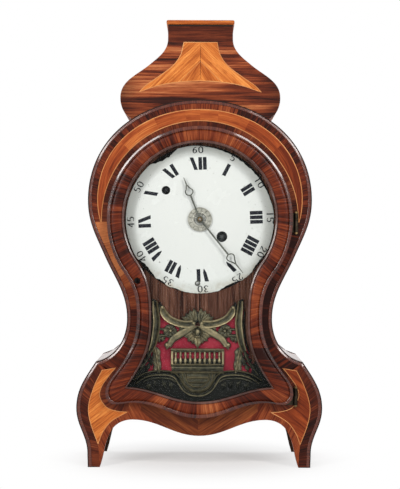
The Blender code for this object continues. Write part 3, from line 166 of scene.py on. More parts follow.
def inMetres(spots):
    return [Vector((x / 1000, z / 1000)) for x, z in spots]


# meshes
def meshFrom(build, name):
    mesh = bpy.data.meshes.new(name)
    build.to_mesh(mesh)
    build.free()
    return mesh


def gridMesh(name, rows, ringAlong=False, ringAcross=False, caps=False, leaves=None, slots=None,
             turnGrain=False):
    # quads over rows of points, with the veneer's grain laid across the rows
    build = bmesh.new()
    grain = build.loops.layers.uv.new("grain")
    tone = build.faces.layers.float.new("leafTone")
    verts = [[build.verts.new(p) for p in row] for row in rows]
    count, width = len(rows), len(rows[0])
    middle = width // 2
    along = [0.0]
    for i in range(count):
        step = Vector(rows[(i + 1) % count][middle]) - Vector(rows[i][middle])
        along.append(along[-1] + step.length)
    across = []
    for row in rows:
        marks = [0.0]
        for j in range(width):
            marks.append(marks[-1] + (Vector(row[(j + 1) % width]) - Vector(row[j])).length)
        across.append(marks)
    for i in range(count if ringAlong else count - 1):
        k = (i + 1) % count
        shiftU, shiftV, leafTone = leaves[i] if leaves else (0.0, 0.0, 0.0)
        for j in range(width if ringAcross else width - 1):
            m = (j + 1) % width
            face = build.faces.new((verts[i][j], verts[i][m], verts[k][m], verts[k][j]))
            face.smooth = True
            face[tone] = leafTone
            if slots:
                face.material_index = slots[j]
            marks = (
                (across[i][j], along[i]), (across[i][j + 1], along[i]),
                (across[k][j + 1], along[i + 1]), (across[k][j], along[i + 1]),
            )
            for corner, (u, v) in zip(face.loops, marks):
                spot = (v, u) if turnGrain else (u, v)
                corner[grain].uv = (spot[0] + shiftU, spot[1] + shiftV)
    if caps:
        for row in (verts[0], verts[-1]):
            build.faces.new(row)
    bmesh.ops.recalc_face_normals(build, faces=build.faces)
    return meshFrom(build, name)


def cutLeaves(rows, seed, shortest, longest, spread=1.0, breaks=()):
    # veneer leaves along the rows, each with its own place in the log and its own tone
    maker = random.Random(seed)
    leaves = []
    left = 0.0
    leaf = None
    middle = len(rows[0]) // 2
    for i, row in enumerate(rows):
        step = (Vector(rows[(i + 1) % len(rows)][middle]) - Vector(row[middle])).length
        if leaf is None or left <= 0 or i in breaks:
            left = maker.uniform(shortest, longest)
            leaf = (maker.uniform(0, 9), maker.uniform(0, 9), maker.uniform(-spread, spread))
        leaves.append(leaf)
        left -= step
    return leaves


def leavesAlong(line, seed, shortest, longest, spread):
    return cutLeaves([[(p.x, 0, p.y)] * 3 for p in line], seed, shortest, longest, spread)


def frontMesh(name, loops, front, back, angle=0.0, leafTone=0.0, shift=(0.0, 0.0)):
    # a flat shape seen from the front, its grain at an angle from +X
    curve = bpy.data.curves.new(name, "CURVE")
    curve.dimensions = "2D"
    curve.fill_mode = "BOTH"
    curve.extrude = (back - front) / 2
    for loop in loops:
        spline = curve.splines.new("POLY")
        spline.points.add(len(loop) - 1)
        for spot, place in zip(spline.points, loop):
            spot.co = (place[0], place[1], 0.0, 1.0)
        spline.use_cyclic_u = True
    holder = bpy.data.objects.new(name, curve)
    mesh = bpy.data.meshes.new_from_object(holder)
    bpy.data.objects.remove(holder)
    bpy.data.curves.remove(curve)
    upright = Matrix.Rotation(math.radians(90), 4, "X")
    mesh.transform(Matrix.Translation((0, (front + back) / 2, 0)) @ upright)
    return tidyMesh(mesh, name, angle, leafTone, shift)


def tidyMesh(mesh, name, angle=0.0, leafTone=0.0, shift=(0.0, 0.0), sharp=35):
    # welds, turns faces outwards and lays the grain by the way each face looks
    mesh.name = name
    build = bmesh.new()
    build.from_mesh(mesh)
    bmesh.ops.remove_doubles(build, verts=build.verts, dist=1e-6)
    bmesh.ops.recalc_face_normals(build, faces=build.faces)
    grain = build.loops.layers.uv.get("grain") or build.loops.layers.uv.new("grain")
    tone = build.faces.layers.float.get("leafTone") or build.faces.layers.float.new("leafTone")
    cosine, sine = math.cos(math.radians(angle)), math.sin(math.radians(angle))
    for face in build.faces:
        face[tone] = leafTone
        way = face.normal
        for corner in face.loops:
            p = corner.vert.co
            if abs(way.y) > 0.5:
                u, v = p.x * cosine + p.z * sine, p.z * cosine - p.x * sine
            else:
                u, v = p.y, (p.z if abs(way.x) > abs(way.z) else p.x)
            corner[grain].uv = (u + shift[0], v + shift[1])
    build.to_mesh(mesh)
    build.free()
    mesh.shade_smooth()
    mesh.set_sharp_from_angle(angle=math.radians(sharp))
    return mesh


def appliedMesh(name, mesh, tools=(), rounding=0.0):
    # the tools cut away and the edges rounded, worked into the mesh
    holder = bpy.data.objects.new(name, mesh)
    bpy.context.scene.collection.objects.link(holder)
    helpers = []
    for tool in tools:
        helper = bpy.data.objects.new("helper", tool)
        bpy.context.scene.collection.objects.link(helper)
        helpers.append(helper)
        step = holder.modifiers.new("step", "BOOLEAN")
        step.operation = "DIFFERENCE"
        step.solver = "EXACT"
        step.object = helper
    if rounding:
        edge = holder.modifiers.new("edge", "BEVEL")
        edge.width = rounding
        edge.segments = 3
        edge.limit_method = "ANGLE"
        edge.angle_limit = math.radians(40)
    bpy.context.view_layer.update()
    worked = holder.evaluated_get(bpy.context.evaluated_depsgraph_get())
    done = bpy.data.meshes.new_from_object(worked)
    for extra in [holder] + helpers:
        bpy.data.objects.remove(extra)
    done.name = name
    return done


def joinedMesh(name, meshes):
    build = bmesh.new()
    build.loops.layers.uv.new("grain")
    build.faces.layers.float.new("leafTone")
    for mesh in meshes:
        build.from_mesh(mesh)
        bpy.data.meshes.remove(mesh)
    return meshFrom(build, name)


def latheMesh(name, profile, centre, steps=48, ring=False):
    # radius and depth, swept round an axis from front to back
    rows = []
    for i in range(steps):
        angle = 2 * math.pi * i / steps
        row = []
        for radius, place in profile:
            row.append((centre[0] + radius * math.sin(angle), place, centre[1] + radius * math.cos(angle)))
        rows.append(row)
    mesh = gridMesh(name, rows, ringAlong=True, ringAcross=ring)
    build = bmesh.new()
    build.from_mesh(mesh)
    bmesh.ops.remove_doubles(build, verts=build.verts, dist=1e-7)
    bmesh.ops.recalc_face_normals(build, faces=build.faces)
    build.to_mesh(mesh)
    build.free()
    mesh.set_sharp_from_angle(angle=math.radians(40))
    return mesh


def tubeMesh(name, points, radii, base, sides):
    # a turned bar along a line in the front plane, its middle at base, with a radius for each point
    rows = []
    for i, (p, radius) in enumerate(zip(points, radii)):
        normal = crosswise(points, i)
        row = []
        for k in range(sides):
            angle = 2 * math.pi * k / sides
            side = normal * (radius * math.cos(angle))
            row.append((p.x + side.x, base - radius * math.sin(angle), p.y + side.y))
        rows.append(row)
    return gridMesh(name, rows, ringAcross=True, caps=True)


mouldRoot = 0.0002  # how far a moulding goes in behind its base


def mouldMesh(name, points, width, profile, base, ends=True):
    # a moulded band along a line: profile gives the share across and the rise to the front
    rows = []
    for i, p in enumerate(points):
        normal = crosswise(points, i)
        size = width(i / (len(points) - 1)) if callable(width) else width
        row = []
        for share, rise in profile:
            side = normal * (share * size / 2)
            row.append((p.x + side.x, base - rise, p.y + side.y))
        row.append((row[-1][0], base + mouldRoot, row[-1][2]))
        row.append((row[0][0], base + mouldRoot, row[0][2]))
        rows.append(row)
    return gridMesh(name, rows, ringAcross=True, caps=ends)


def addPiece(name, mesh, body, materials, hides=()):
    made = bpy.data.objects.new(name, mesh)
    bpy.context.scene.collection.objects.link(made)
    kinds = [face.material_index for face in mesh.polygons]
    mesh.materials.clear()
    for material in materials:
        mesh.materials.append(material)
    mesh.polygons.foreach_set("material_index", kinds)
    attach(made, body)
    if hides:
        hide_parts(*hides)
    return made


# materials
def addNode(tree, kind, settings=None, **values):
    node = tree.nodes.new("ShaderNode" + kind)
    for key, value in (settings or {}).items():
        setattr(node, key, value)
    for key, value in values.items():
        node.inputs[key.replace("_", " ")].default_value = value
    return node


def addMath(tree, operation, a, b=None, c=None, clamp=False):
    node = tree.nodes.new("ShaderNodeMath")
    node.operation = operation
    node.use_clamp = clamp
    for i, value in enumerate((a, b, c)):
        if value is None:
            continue
        if isinstance(value, (int, float)):
            node.inputs[i].default_value = value
        else:
            tree.links.new(value, node.inputs[i])
    return node.outputs[0]


def ranged(tree, value, settings=None, **span):
    # a value moved from one span to another
    node = addNode(tree, "MapRange", settings, **span)
    tree.links.new(value, node.inputs["Value"])
    return node.outputs[0]


def objectPlace(tree):
    # object coordinates, whole and as X, Y and Z
    coords = addNode(tree, "TexCoord").outputs["Object"]
    parts = addNode(tree, "SeparateXYZ")
    tree.links.new(coords, parts.inputs[0])
    return coords, parts.outputs


def lengthOf(tree, x, z):
    return addMath(tree, "SQRT", addMath(tree, "MULTIPLY_ADD", x, x, addMath(tree, "MULTIPLY", z, z)))


def addRamp(tree, factor, stops):
    node = tree.nodes.new("ShaderNodeValToRGB")
    while len(node.color_ramp.elements) < len(stops):
        node.color_ramp.elements.new(0.5)
    for element, (place, colour) in zip(node.color_ramp.elements, stops):
        element.position = place
        element.color = (*colour, 1.0)
    tree.links.new(factor, node.inputs[0])
    return node.outputs[0]


def mixColour(tree, factor, a, b, blend="MIX"):
    # inputs 6 and 7 are the node's colours
    node = tree.nodes.new("ShaderNodeMix")
    node.data_type = "RGBA"
    node.blend_type = blend
    node.inputs[0].default_value = factor
    tree.links.new(a, node.inputs[6])
    tree.links.new(b, node.inputs[7])
    return node.outputs[2]


def addNoise(tree, coords, scale, detail, rough, twist=0.0):
    stretch = addNode(tree, "Mapping", Scale=scale)
    tree.links.new(coords, stretch.inputs["Vector"])
    made = addNode(tree, "TexNoise", Scale=1.0, Detail=detail, Roughness=rough, Distortion=twist)
    tree.links.new(stretch.outputs[0], made.inputs["Vector"])
    return made.outputs["Fac"]


def addBump(tree, shader, height, strength, distance):
    bump = addNode(tree, "Bump", Strength=strength, Distance=distance)
    tree.links.new(height, bump.inputs["Height"])
    tree.links.new(bump.outputs[0], shader.inputs["Normal"])


def blankMaterial(name, **values):
    material = bpy.data.materials.new(name)
    material.use_nodes = True
    shader = material.node_tree.nodes["Principled BSDF"]
    for key, value in values.items():
        shader.inputs[key.replace("_", " ")].default_value = value
    return material, material.node_tree, shader


def veneer(name, stops, figure=(9, 150), streak=(22, 620), pores=0.55, toneShare=0.22, rough=(0.34, 0.50),
           coat=0.05, objectGrain=None, shares=(0.9, 1.2), relief=0.10):
    # polished wood: broad figure, fine streaks, pores and a tone for each leaf
    material, tree, shader = blankMaterial(
        name, Coat_Weight=coat, Coat_Roughness=0.10, Specular_IOR_Level=0.08
    )
    if objectGrain is None:
        coords = addNode(tree, "UVMap", {"uv_map": "grain"}).outputs[0]
    else:
        coords = addNode(tree, "TexCoord").outputs["Object"]

    def stretched(pair):
        if objectGrain is None:
            return (pair[0], pair[1], 1.0)
        return tuple(pair[0] if axis == objectGrain else pair[1] for axis in "XYZ")

    broad = addNoise(tree, coords, stretched(figure), 3.0, 0.6, 0.5)
    fine = addNoise(tree, coords, stretched(streak), 4.0, 0.6, 0.2)
    pore = addNoise(tree, coords, stretched((90, 1500)), 2.0, 0.5)
    tone = addNode(tree, "Attribute", {"attribute_name": "leafTone"})
    mixed = addMath(tree, "MULTIPLY_ADD", broad, shares[0], 0.5 - 0.5 * sum(shares))
    mixed = addMath(tree, "MULTIPLY_ADD", fine, shares[1], mixed)
    mixed = addMath(tree, "MULTIPLY_ADD", tone.outputs["Fac"], toneShare, mixed, clamp=True)
    colour = addRamp(tree, mixed, stops)
    dark = addRamp(tree, pore, [(0.36, (0.45, 0.40, 0.38)), (0.50, (1.0, 1.0, 1.0))])
    colour = mixColour(tree, pores, colour, mixColour(tree, 1.0, colour, dark, "MULTIPLY"))
    tree.links.new(colour, shader.inputs["Base Color"])
    gloss = ranged(tree, fine, To_Min=rough[0], To_Max=rough[1])
    tree.links.new(gloss, shader.inputs["Roughness"])
    addBump(tree, shader, addMath(tree, "MULTIPLY_ADD", pore, 0.6, fine), relief, 0.0003)
    return material


def metal(name, bright, dull, rough=(0.22, 0.45), metallic=1.0, scale=60.0):
    # worn metal with patches of tarnish
    material, tree, shader = blankMaterial(name, Metallic=metallic)
    coords = addNode(tree, "TexCoord").outputs["Object"]
    patch = addNoise(tree, coords, (scale, scale, scale), 5.0, 0.65, 0.3)
    grain = addNoise(tree, coords, (300, 60, 1100), 3.0, 0.6)
    worn = addMath(tree, "MULTIPLY_ADD", grain, 0.35, patch)
    colour = addRamp(tree, worn, [(0.52, dull), (0.82, bright)])
    tree.links.new(colour, shader.inputs["Base Color"])
    gloss = ranged(tree, worn, From_Min=0.4, From_Max=0.95, To_Min=rough[1], To_Max=rough[0])
    tree.links.new(gloss, shader.inputs["Roughness"])
    addBump(tree, shader, worn, 0.12, 0.0002)
    return material


rosewoodDark = veneer("rosewoodDark", [
    (0.10, (0.012, 0.0026, 0.0015)), (0.42, (0.058, 0.0100, 0.0040)), (0.72, (0.145, 0.030, 0.0105)),
    (0.95, (0.270, 0.075, 0.026)),
])
rosewoodBand = veneer("rosewoodBand", [
    (0.10, (0.016, 0.0028, 0.0015)), (0.40, (0.105, 0.0165, 0.0056)), (0.66, (0.220, 0.048, 0.0145)),
    (0.95, (0.400, 0.130, 0.044)),
], toneShare=0.24)
longStops = [
    (0.10, (0.024, 0.0060, 0.0040)), (0.40, (0.125, 0.0230, 0.0085)), (0.66, (0.260, 0.062, 0.0200)),
    (0.95, (0.430, 0.150, 0.055)),
]
longCut = dict(figure=(6, 95), streak=(14, 420), shares=(1.5, 1.3))
rosewoodLong = veneer("rosewoodLong", longStops, **longCut)
bodyWood = veneer("bodyWood", longStops, **longCut, rough=(0.5, 0.7), coat=0.0)
sideWood = veneer("sideWood", longStops, **longCut, coat=0.75, relief=0.03)
crestWood = veneer("crestWood", longStops, figure=(4, 60), streak=(12, 380), shares=(2.4, 1.6))
tulipLight = veneer("tulipLight", [
    (0.08, (0.250, 0.050, 0.0090)), (0.42, (0.480, 0.135, 0.0260)), (0.70, (0.650, 0.235, 0.0540)),
    (0.95, (0.790, 0.370, 0.1100)),
], figure=(8, 120), pores=0.5, shares=(1.2, 1.4))
deepCut = dict(figure=(8, 120), pores=0.5, toneShare=0.26, shares=(1.3, 0.95))
tulipDeep = veneer("tulipDeep", [
    (0.08, (0.100, 0.0150, 0.0045)), (0.42, (0.250, 0.046, 0.0110)), (0.72, (0.390, 0.096, 0.0220)),
    (0.95, (0.560, 0.190, 0.0500)),
], **deepCut)
apronWood = veneer("apronWood", [
    (0.08, (0.078, 0.0160, 0.0056)), (0.42, (0.192, 0.049, 0.0138)), (0.72, (0.300, 0.102, 0.0275)),
    (0.95, (0.430, 0.200, 0.0620)),
], **deepCut)
stringWood = veneer("stringWood", [
    (0.10, (0.360, 0.125, 0.038)), (0.60, (0.540, 0.235, 0.084)), (0.95, (0.660, 0.370, 0.160)),
], pores=0.15)
# the sight lip's wood, greyer and pinker than the rails: painted reflection
lipWoodSheen = veneer("lipWoodSheen", [
    (0.10, (0.036, 0.0140, 0.0100)), (0.50, (0.080, 0.0320, 0.0240)), (0.95, (0.150, 0.0700, 0.0520)),
], pores=0.3, rough=(0.30, 0.42), coat=0.45, relief=0.01)
beadWood = veneer("beadWood", [
    (0.10, (0.018, 0.0032, 0.0018)), (0.50, (0.078, 0.0140, 0.0060)), (0.95, (0.160, 0.0430, 0.0160)),
], pores=0.3, rough=(0.22, 0.32), coat=0.75, relief=0.01)
edgeWood = veneer("edgeWood", [
    (0.10, (0.0060, 0.0036, 0.0030)), (0.90, (0.0240, 0.0120, 0.0090)),
], pores=0.2)
oakCut = dict(figure=(5, 90), streak=(12, 420), rough=(0.50, 0.68), coat=0.0)
oak = veneer("oak", [
    (0.10, (0.060, 0.026, 0.012)), (0.50, (0.165, 0.080, 0.036)), (0.92, (0.290, 0.165, 0.085)),
], **oakCut, objectGrain="Z")
# painted shade: oak darkened for the back frame and the back door
shadedOak = veneer("shadedOak", [
    (0.10, (0.016, 0.0080, 0.0045)), (0.50, (0.050, 0.0250, 0.0130)), (0.92, (0.100, 0.058, 0.032)),
], **oakCut, objectGrain="Z")
oakLevel = veneer("oakLevel", [
    (0.10, (0.060, 0.026, 0.012)), (0.50, (0.160, 0.078, 0.035)), (0.92, (0.280, 0.160, 0.082)),
], **oakCut, objectGrain="X")
brass = metal("brass", (0.62, 0.43, 0.17), (0.30, 0.19, 0.065))
oldBrass = metal("oldBrass", (0.30, 0.20, 0.085), (0.055, 0.035, 0.018), rough=(0.30, 0.55))
darkBronze = metal("darkBronze", (0.050, 0.039, 0.026), (0.010, 0.008, 0.006), rough=(0.36, 0.60))
steel = metal("steel", (0.46, 0.47, 0.47), (0.20, 0.20, 0.20), scale=90.0)
blued = metal("blued", (0.060, 0.063, 0.066), (0.016, 0.017, 0.020), scale=90.0)
handSteel = metal("handSteel", (0.135, 0.143, 0.120), (0.050, 0.055, 0.046), (0.40, 0.60), 0.45, 120.0)


def shadeBy(material, axis, scale, stops):
    # the wood darkened by its distance from the centre along an axis
    tree = material.node_tree
    shader = tree.nodes["Principled BSDF"]
    away = addMath(tree, "ABSOLUTE", objectPlace(tree)[1][axis])
    shade = addRamp(tree, addMath(tree, "MULTIPLY", away, scale, clamp=True), stops)
    colour = shader.inputs["Base Color"].links[0].from_socket
    tree.links.new(mixColour(tree, 1.0, colour, shade, "MULTIPLY"), shader.inputs["Base Color"])


# painted shade: the crest board darkens towards its left and right edges
shadeBy(crestWood, "X", 9.0, [(0.74, (1.0, 1.0, 1.0)), (0.96, (0.42, 0.42, 0.46))])


def maskBoard():
    # two dark boards with a seam on the centre line
    material = veneer("maskBoard", [
        (0.15, (0.020, 0.0065, 0.0040)), (0.50, (0.085, 0.0330, 0.0200)), (0.90, (0.180, 0.085, 0.055)),
    ], figure=(6, 130), streak=(16, 460), rough=(0.55, 0.7), coat=0.0, objectGrain="Z", shares=(1.3, 1.9))
    shadeBy(material, "X", 500.0, [(0.15, (0.25, 0.22, 0.2)), (0.45, (1.0, 1.0, 1.0))])
    return material


def giltBronze():
    # gilding left on what stands forward, dark green-brown patina behind
    material, tree, shader = blankMaterial("giltBronze", Metallic=0.70)
    coords, parts = objectPlace(tree)
    forward = ranged(tree, parts["Y"], From_Min=fretRear - 0.0014, From_Max=fretRear - 0.0052)
    patch = addNoise(tree, coords, (150, 150, 150), 5.0, 0.65, 0.4)
    broad = addNoise(tree, coords, (34, 34, 34), 2.0, 0.5)
    worn = addMath(tree, "MULTIPLY_ADD", patch, 1.45, forward)
    worn = addMath(tree, "MULTIPLY_ADD", broad, 0.5, worn)
    gilding = addNode(tree, "Attribute", {"attribute_name": "leafTone"})
    worn = addMath(tree, "ADD", worn, gilding.outputs["Fac"])
    worn = addMath(tree, "MULTIPLY_ADD", worn, 0.55, -0.50, clamp=True)
    colour = addRamp(tree, worn, [
        (0.04, (0.0075, 0.0085, 0.0070)), (0.28, (0.062, 0.061, 0.038)), (0.56, (0.218, 0.186, 0.104)),
        (0.92, (0.580, 0.480, 0.270)),
    ])
    tree.links.new(colour, shader.inputs["Base Color"])
    tree.links.new(ranged(tree, worn, To_Min=0.62, To_Max=0.34), shader.inputs["Roughness"])
    addBump(tree, shader, patch, 0.45, 0.0010)
    return material


def enamelWhite():
    # white enamel, specked and stained brown towards the rim and the bottom, with painted shade greying it towards
    # the rim
    material, tree, shader = blankMaterial("enamelWhite", Coat_Weight=0.15, Coat_Roughness=0.2)
    coords, parts = objectPlace(tree)
    x = addMath(tree, "SUBTRACT", parts["X"], dialCentre.x)
    z = addMath(tree, "SUBTRACT", parts["Z"], dialCentre.y)
    share = addMath(tree, "DIVIDE", lengthOf(tree, x, z), dialShape["radius"])
    cloud = addNoise(tree, coords, (26, 26, 26), 3.0, 0.6)
    edge = addMath(tree, "MULTIPLY_ADD", cloud, 0.16, share)
    # painted shade: the ramp greys the white towards the rim
    colour = addRamp(tree, edge, [
        (0.60, (0.695, 0.722, 0.694)), (0.92, (0.700, 0.733, 0.704)), (1.04, (0.590, 0.620, 0.580)),
    ])
    stain = addNoise(tree, coords, (70, 70, 70), 4.0, 0.65)
    low = ranged(tree, z, From_Min=0.045, From_Max=-0.085, To_Min=0.0, To_Max=0.16)
    stain = addMath(tree, "MULTIPLY_ADD", stain, 0.45, addMath(tree, "ADD", share, low))
    stain = ranged(tree, stain, From_Min=0.85, From_Max=1.75)
    brown = addRamp(tree, stain, [(0.5, (1.0, 1.0, 1.0)), (0.72, (0.62, 0.50, 0.36))])
    colour = mixColour(tree, 1.0, colour, brown, "MULTIPLY")
    speck = addNoise(tree, coords, (330, 330, 330), 1.0, 0.5)
    speck = addMath(tree, "MULTIPLY_ADD", share, 0.055, speck)
    dots = addRamp(tree, speck, [(0.775, (1.0, 1.0, 1.0)), (0.815, (0.52, 0.52, 0.50))])
    tree.links.new(mixColour(tree, 1.0, colour, dots, "MULTIPLY"), shader.inputs["Base Color"])
    tree.links.new(ranged(tree, cloud, To_Min=0.16, To_Max=0.34), shader.inputs["Roughness"])
    addBump(tree, shader, cloud, 0.05, 0.0006)
    return material


def dialPaint():
    # black numerals, thin where they have worn
    material, tree, shader = blankMaterial("dialPaint", Roughness=0.5, Specular_IOR_Level=0.15)
    coords = addNode(tree, "TexCoord").outputs["Object"]
    worn = addNoise(tree, coords, (420, 420, 420), 3.0, 0.6)
    colour = addRamp(tree, worn, [(0.50, (0.0065, 0.0075, 0.012)), (0.85, (0.060, 0.065, 0.075))])
    tree.links.new(colour, shader.inputs["Base Color"])
    return material


def pewterDisc():
    # dull centre disc with fine turned lines
    material, tree, shader = blankMaterial("pewterDisc", Metallic=0.25, Roughness=0.48)
    coords, parts = objectPlace(tree)
    radius = lengthOf(tree, parts["X"], addMath(tree, "SUBTRACT", parts["Z"], dialCentre.y))
    patch = addNoise(tree, coords, (210, 210, 210), 4.0, 0.65)
    colour = addRamp(tree, patch, [(0.30, (0.200, 0.200, 0.165)), (0.70, (0.470, 0.470, 0.405))])
    turned = addMath(tree, "SINE", addMath(tree, "MULTIPLY", radius, 1500.0))
    depth = addMath(tree, "MULTIPLY_ADD", turned, 0.5, 0.5)
    lines = addRamp(tree, depth, [(0.0, (0.62, 0.62, 0.60)), (0.35, (1.0, 1.0, 1.0))])
    lined = mixColour(tree, 1.0, colour, lines, "MULTIPLY")
    tree.links.new(mixColour(tree, 0.7, colour, lined), shader.inputs["Base Color"])
    addBump(tree, shader, addMath(tree, "MULTIPLY_ADD", turned, 0.2, patch), 0.2, 0.0003)
    return material


def crimsonCloth():
    # plain woven silk with slubs
    material, tree, shader = blankMaterial(
        "crimsonCloth", Roughness=0.80, Sheen_Weight=0.08, Specular_IOR_Level=0.1
    )
    coords = addNode(tree, "TexCoord").outputs["Object"]
    warp = addNoise(tree, coords, (2400, 1, 160), 2.0, 0.5)
    weft = addNoise(tree, coords, (160, 1, 2400), 2.0, 0.5)
    fade = addNoise(tree, coords, (38, 38, 38), 3.0, 0.6)
    thread = addMath(tree, "MAXIMUM", warp, weft)
    mixed = addMath(tree, "MULTIPLY_ADD", fade, 0.7, addMath(tree, "MULTIPLY", thread, 0.5))
    colour = addRamp(tree, mixed, [
        (0.35, (0.075, 0.0050, 0.013)), (0.62, (0.250, 0.0175, 0.034)), (0.90, (0.480, 0.0560, 0.080)),
    ])
    tree.links.new(colour, shader.inputs["Base Color"])
    addBump(tree, shader, thread, 0.35, 0.0003)
    return material


def paneGlass():
    # thin old glass, mostly see-through
    material, tree, shader = blankMaterial(
        "paneGlass", Base_Color=(0.020, 0.026, 0.024, 1.0), Roughness=0.03, Alpha=0.05, IOR=1.45
    )
    coords = addNode(tree, "TexCoord").outputs["Object"]
    addBump(tree, shader, addNoise(tree, coords, (14, 14, 9), 2.0, 0.5), 0.04, 0.002)
    return material


print("wood, metal and cloth materials ready")

# outlines of case, door and sight line
caseShape = dict(
    top=0.5092, wide=(0.1550, 0.3700), flank=(0.1315, 0.2927), waist=(0.1003, 0.2055),
    shoulder=(0.1435, 0.1458), belly=(0.1702, 0.0820), ankle=(0.1545, 0.0190), toeOuter=0.1540,
    toeInner=0.1375, leg=(0.1235, 0.0475), arch=(0.0920, 0.0660), apron=0.0437,
    wall=0.0080, jointZ=0.1350, jointGap=0.0003, legFront=0.0220, legBack=0.0200,
    # arch of a foot panel: share of its half width, height
    footArch=[(1.0, -0.0100), (1.0, 0.0160), (0.86, 0.0360), (0.55, 0.04472), (0.22, 0.0468), (0.0, 0.0520)],
)
doorShape = dict(
    radius=0.1280, arcZ=0.3438, arcEnd=126.0, waist=(0.0860, 0.2075), flare=(0.1205, 0.1250),
    corner=(0.1292, 0.1030), heel=(0.1160, 0.0886), rise=(0.0860, 0.0908), foot=0.0698,
)
sightShape = dict(
    radius=0.1045, arcZ=0.3447, arcEnd=125.0, waist=(0.0666, 0.1980), corner=(0.1000, 0.1120),
    rise=(0.0840, 0.1103), foot=0.0919, opening=0.0090, rebate=0.0060, rebateDepth=0.0075,
)

archLine = smoothLine([(0.0, caseShape["top"], 0), (*caseShape["wide"], -90)], steps=44, pull=0.405)
flankLine = smoothLine([
    (*caseShape["wide"], -90), (*caseShape["flank"], -114), (*caseShape["waist"], -90),
    (*caseShape["shoulder"], -12, -57),
])
footLine = smoothLine([
    (*caseShape["shoulder"], -12, -57), (*caseShape["belly"], -90), (*caseShape["ankle"], -90),
    (caseShape["toeOuter"], 0.0, -90),
])
outerSide = archLine[:-1] + flankLine[:-1] + footLine
shoulderIndex = len(archLine) + len(flankLine) - 2
underSide = smoothLine([
    (caseShape["toeInner"], 0.0, 109), (*caseShape["leg"], 116), (*caseShape["arch"], 180),
    (0.0, caseShape["apron"], 180),
])
caseRing = wholeRing(outerSide + underSide)


def doorLine(shape):
    # stretches of the door's edge from the top centre: arc, flank, side, corner, foot
    arcEnd = polar(shape["radius"], shape["arcEnd"], (0, shape["arcZ"]))
    arc = arcLine(shape["radius"], 0, shape["arcEnd"], (0, shape["arcZ"]), 60)
    flank = smoothLine([(*arcEnd, -shape["arcEnd"]), (*shape["waist"], -90)])
    if "flare" in shape:
        side = smoothLine([(*shape["waist"], -90), (*shape["flare"], -53), (*shape["corner"], -90)])
        turn = smoothLine([(*shape["corner"], -90), (*shape["heel"], -182)])
        cut = 4  # the corner's first points still belong to the side
        side, turn = side[:-1] + turn[:cut + 1], turn[cut:]
        foot = smoothLine([(*shape["heel"], -182), (*shape["rise"], -176), (0.0, shape["foot"], 180)])
        foot = turn[:-1] + foot
    else:
        side = smoothLine([(*shape["waist"], -90), (*shape["corner"], -56)])
        foot = smoothLine([(*shape["corner"], -174), (*shape["rise"], -170), (0.0, shape["foot"], 180)])
    return arc, flank, side, foot


stretchCounts = (64, 18, 30, 44)  # stations on arc, flank, side and foot


def doorHalf(shape):
    half = []
    for stretch, count in zip(doorLine(shape), stretchCounts):
        half += evenly(stretch, count)[:-1]
    return half + [Vector((0.0, shape["foot"]))]


doorRing = wholeRing(doorHalf(doorShape))
sightRing = wholeRing(doorHalf(sightShape))
doorFine = sum((stretch[:-1] for stretch in doorLine(doorShape)), []) + [Vector((0.0, doorShape["foot"]))]
doorFine = evenly(doorFine, 700)
cornerStation = sum(count - 1 for count in stretchCounts[:3])
print("outlines ready,", len(doorRing), "stations round the door")


def boxMesh(name, low, high, rounding=0.0):
    build = bmesh.new()
    for corner in itertools.product(*zip(low, high)):
        build.verts.new(corner)
    bmesh.ops.convex_hull(build, input=build.verts)
    bmesh.ops.dissolve_limit(build, angle_limit=0.02, verts=build.verts, edges=build.edges)
    mesh = meshFrom(build, name)
    if rounding:
        mesh = appliedMesh(name, mesh, rounding=rounding)
    return mesh


def bandMesh(name, lineA, lineB, front, back, across=5, ring=False, leaves=None, turnGrain=False):
    # a thin closed band between two lines with as many points
    rows = []
    for a, b in zip(lineA, lineB):
        row = []
        for k in range(across + 1):
            p = a.lerp(b, k / across)
            row.append((p.x, front, p.y))
        row += [(b.x, back, b.y), (a.x, back, a.y)]
        rows.append(row)
    mesh = gridMesh(name, rows, ring, True, caps=not ring, leaves=leaves, turnGrain=turnGrain)
    mesh.set_sharp_from_angle(angle=math.radians(38))
    return mesh


def stringMesh(name, line, front, back, width=0.0010, ring=False):
    outer, inner = offsetLine(line, width / 2, ring), offsetLine(line, -width / 2, ring)
    return bandMesh(name, outer, inner, front, back, across=1, ring=ring, turnGrain=True)


def spanned(half):
    # from the left end over the top to the right end
    return flipX(half)[:-1] + half


def matchedTo(line, other):
    # for each point the nearest point of the other line, never turning back
    found = []
    last = 0
    for p in line:
        reach = other[last:last + 60]
        last += min(range(len(reach)), key=lambda i: (reach[i] - p).length)
        found.append(other[last])
    return found


def aboveLevel(points, level):
    # the start of a falling line, cut at a height
    out = [points[0]]
    for a, b in zip(points, points[1:]):
        if b.y < level <= a.y:
            return out + [a.lerp(b, (a.y - level) / (a.y - b.y))]
        out.append(b)
    return out


def belowLevel(points, level):
    for i, (a, b) in enumerate(zip(points, points[1:])):
        if b.y < level <= a.y:
            return [a.lerp(b, (a.y - level) / (a.y - b.y))] + points[i + 1:]
    return points


# front board: core, crossbanded edge, crescents and strings
inlayShape = dict(
    rim=0.0042, rimRise=0.0013, edging=0.0013, edgingRise=0.0004, bandStart=0.0046, crescentStart=0.0138,
    doorBand=0.0084, crescentLeast=0.0226, under=0.0040, deep=0.0006, lift=0.00006,
    crescentCuts=(0.0235, 0.066, 0.112), crescentTones=(0.45, -0.15, 0.2, -0.25), crescentAside=0.001,
    crescentFloor=0.30, crescentShade=0.95, notch=((-0.0058, 0.0020), (0.0066, 0.0010)), beyond=0.002,
    # seed, shortest and longest leaf, spread of tone
    bandLeaves=(11, 0.020, 0.042, 0.6), doorLeaves=(8, 0.022, 0.040, 0.8),
)
halfRound = [(math.cos(math.pi * k / 8), math.sin(math.pi * k / 8)) for k in range(8, -1, -1)]
beadProfile = [
    (0.0, 0.0), (0.0, 0.50), (0.05, 0.68), (0.16, 0.88), (0.29, 0.98), (0.36, 1.0), (0.40, 0.985),
    (0.44, 0.943), (0.91, 0.455), (0.95, 0.413), (1.0, 0.30), (1.0, 0.0),
]
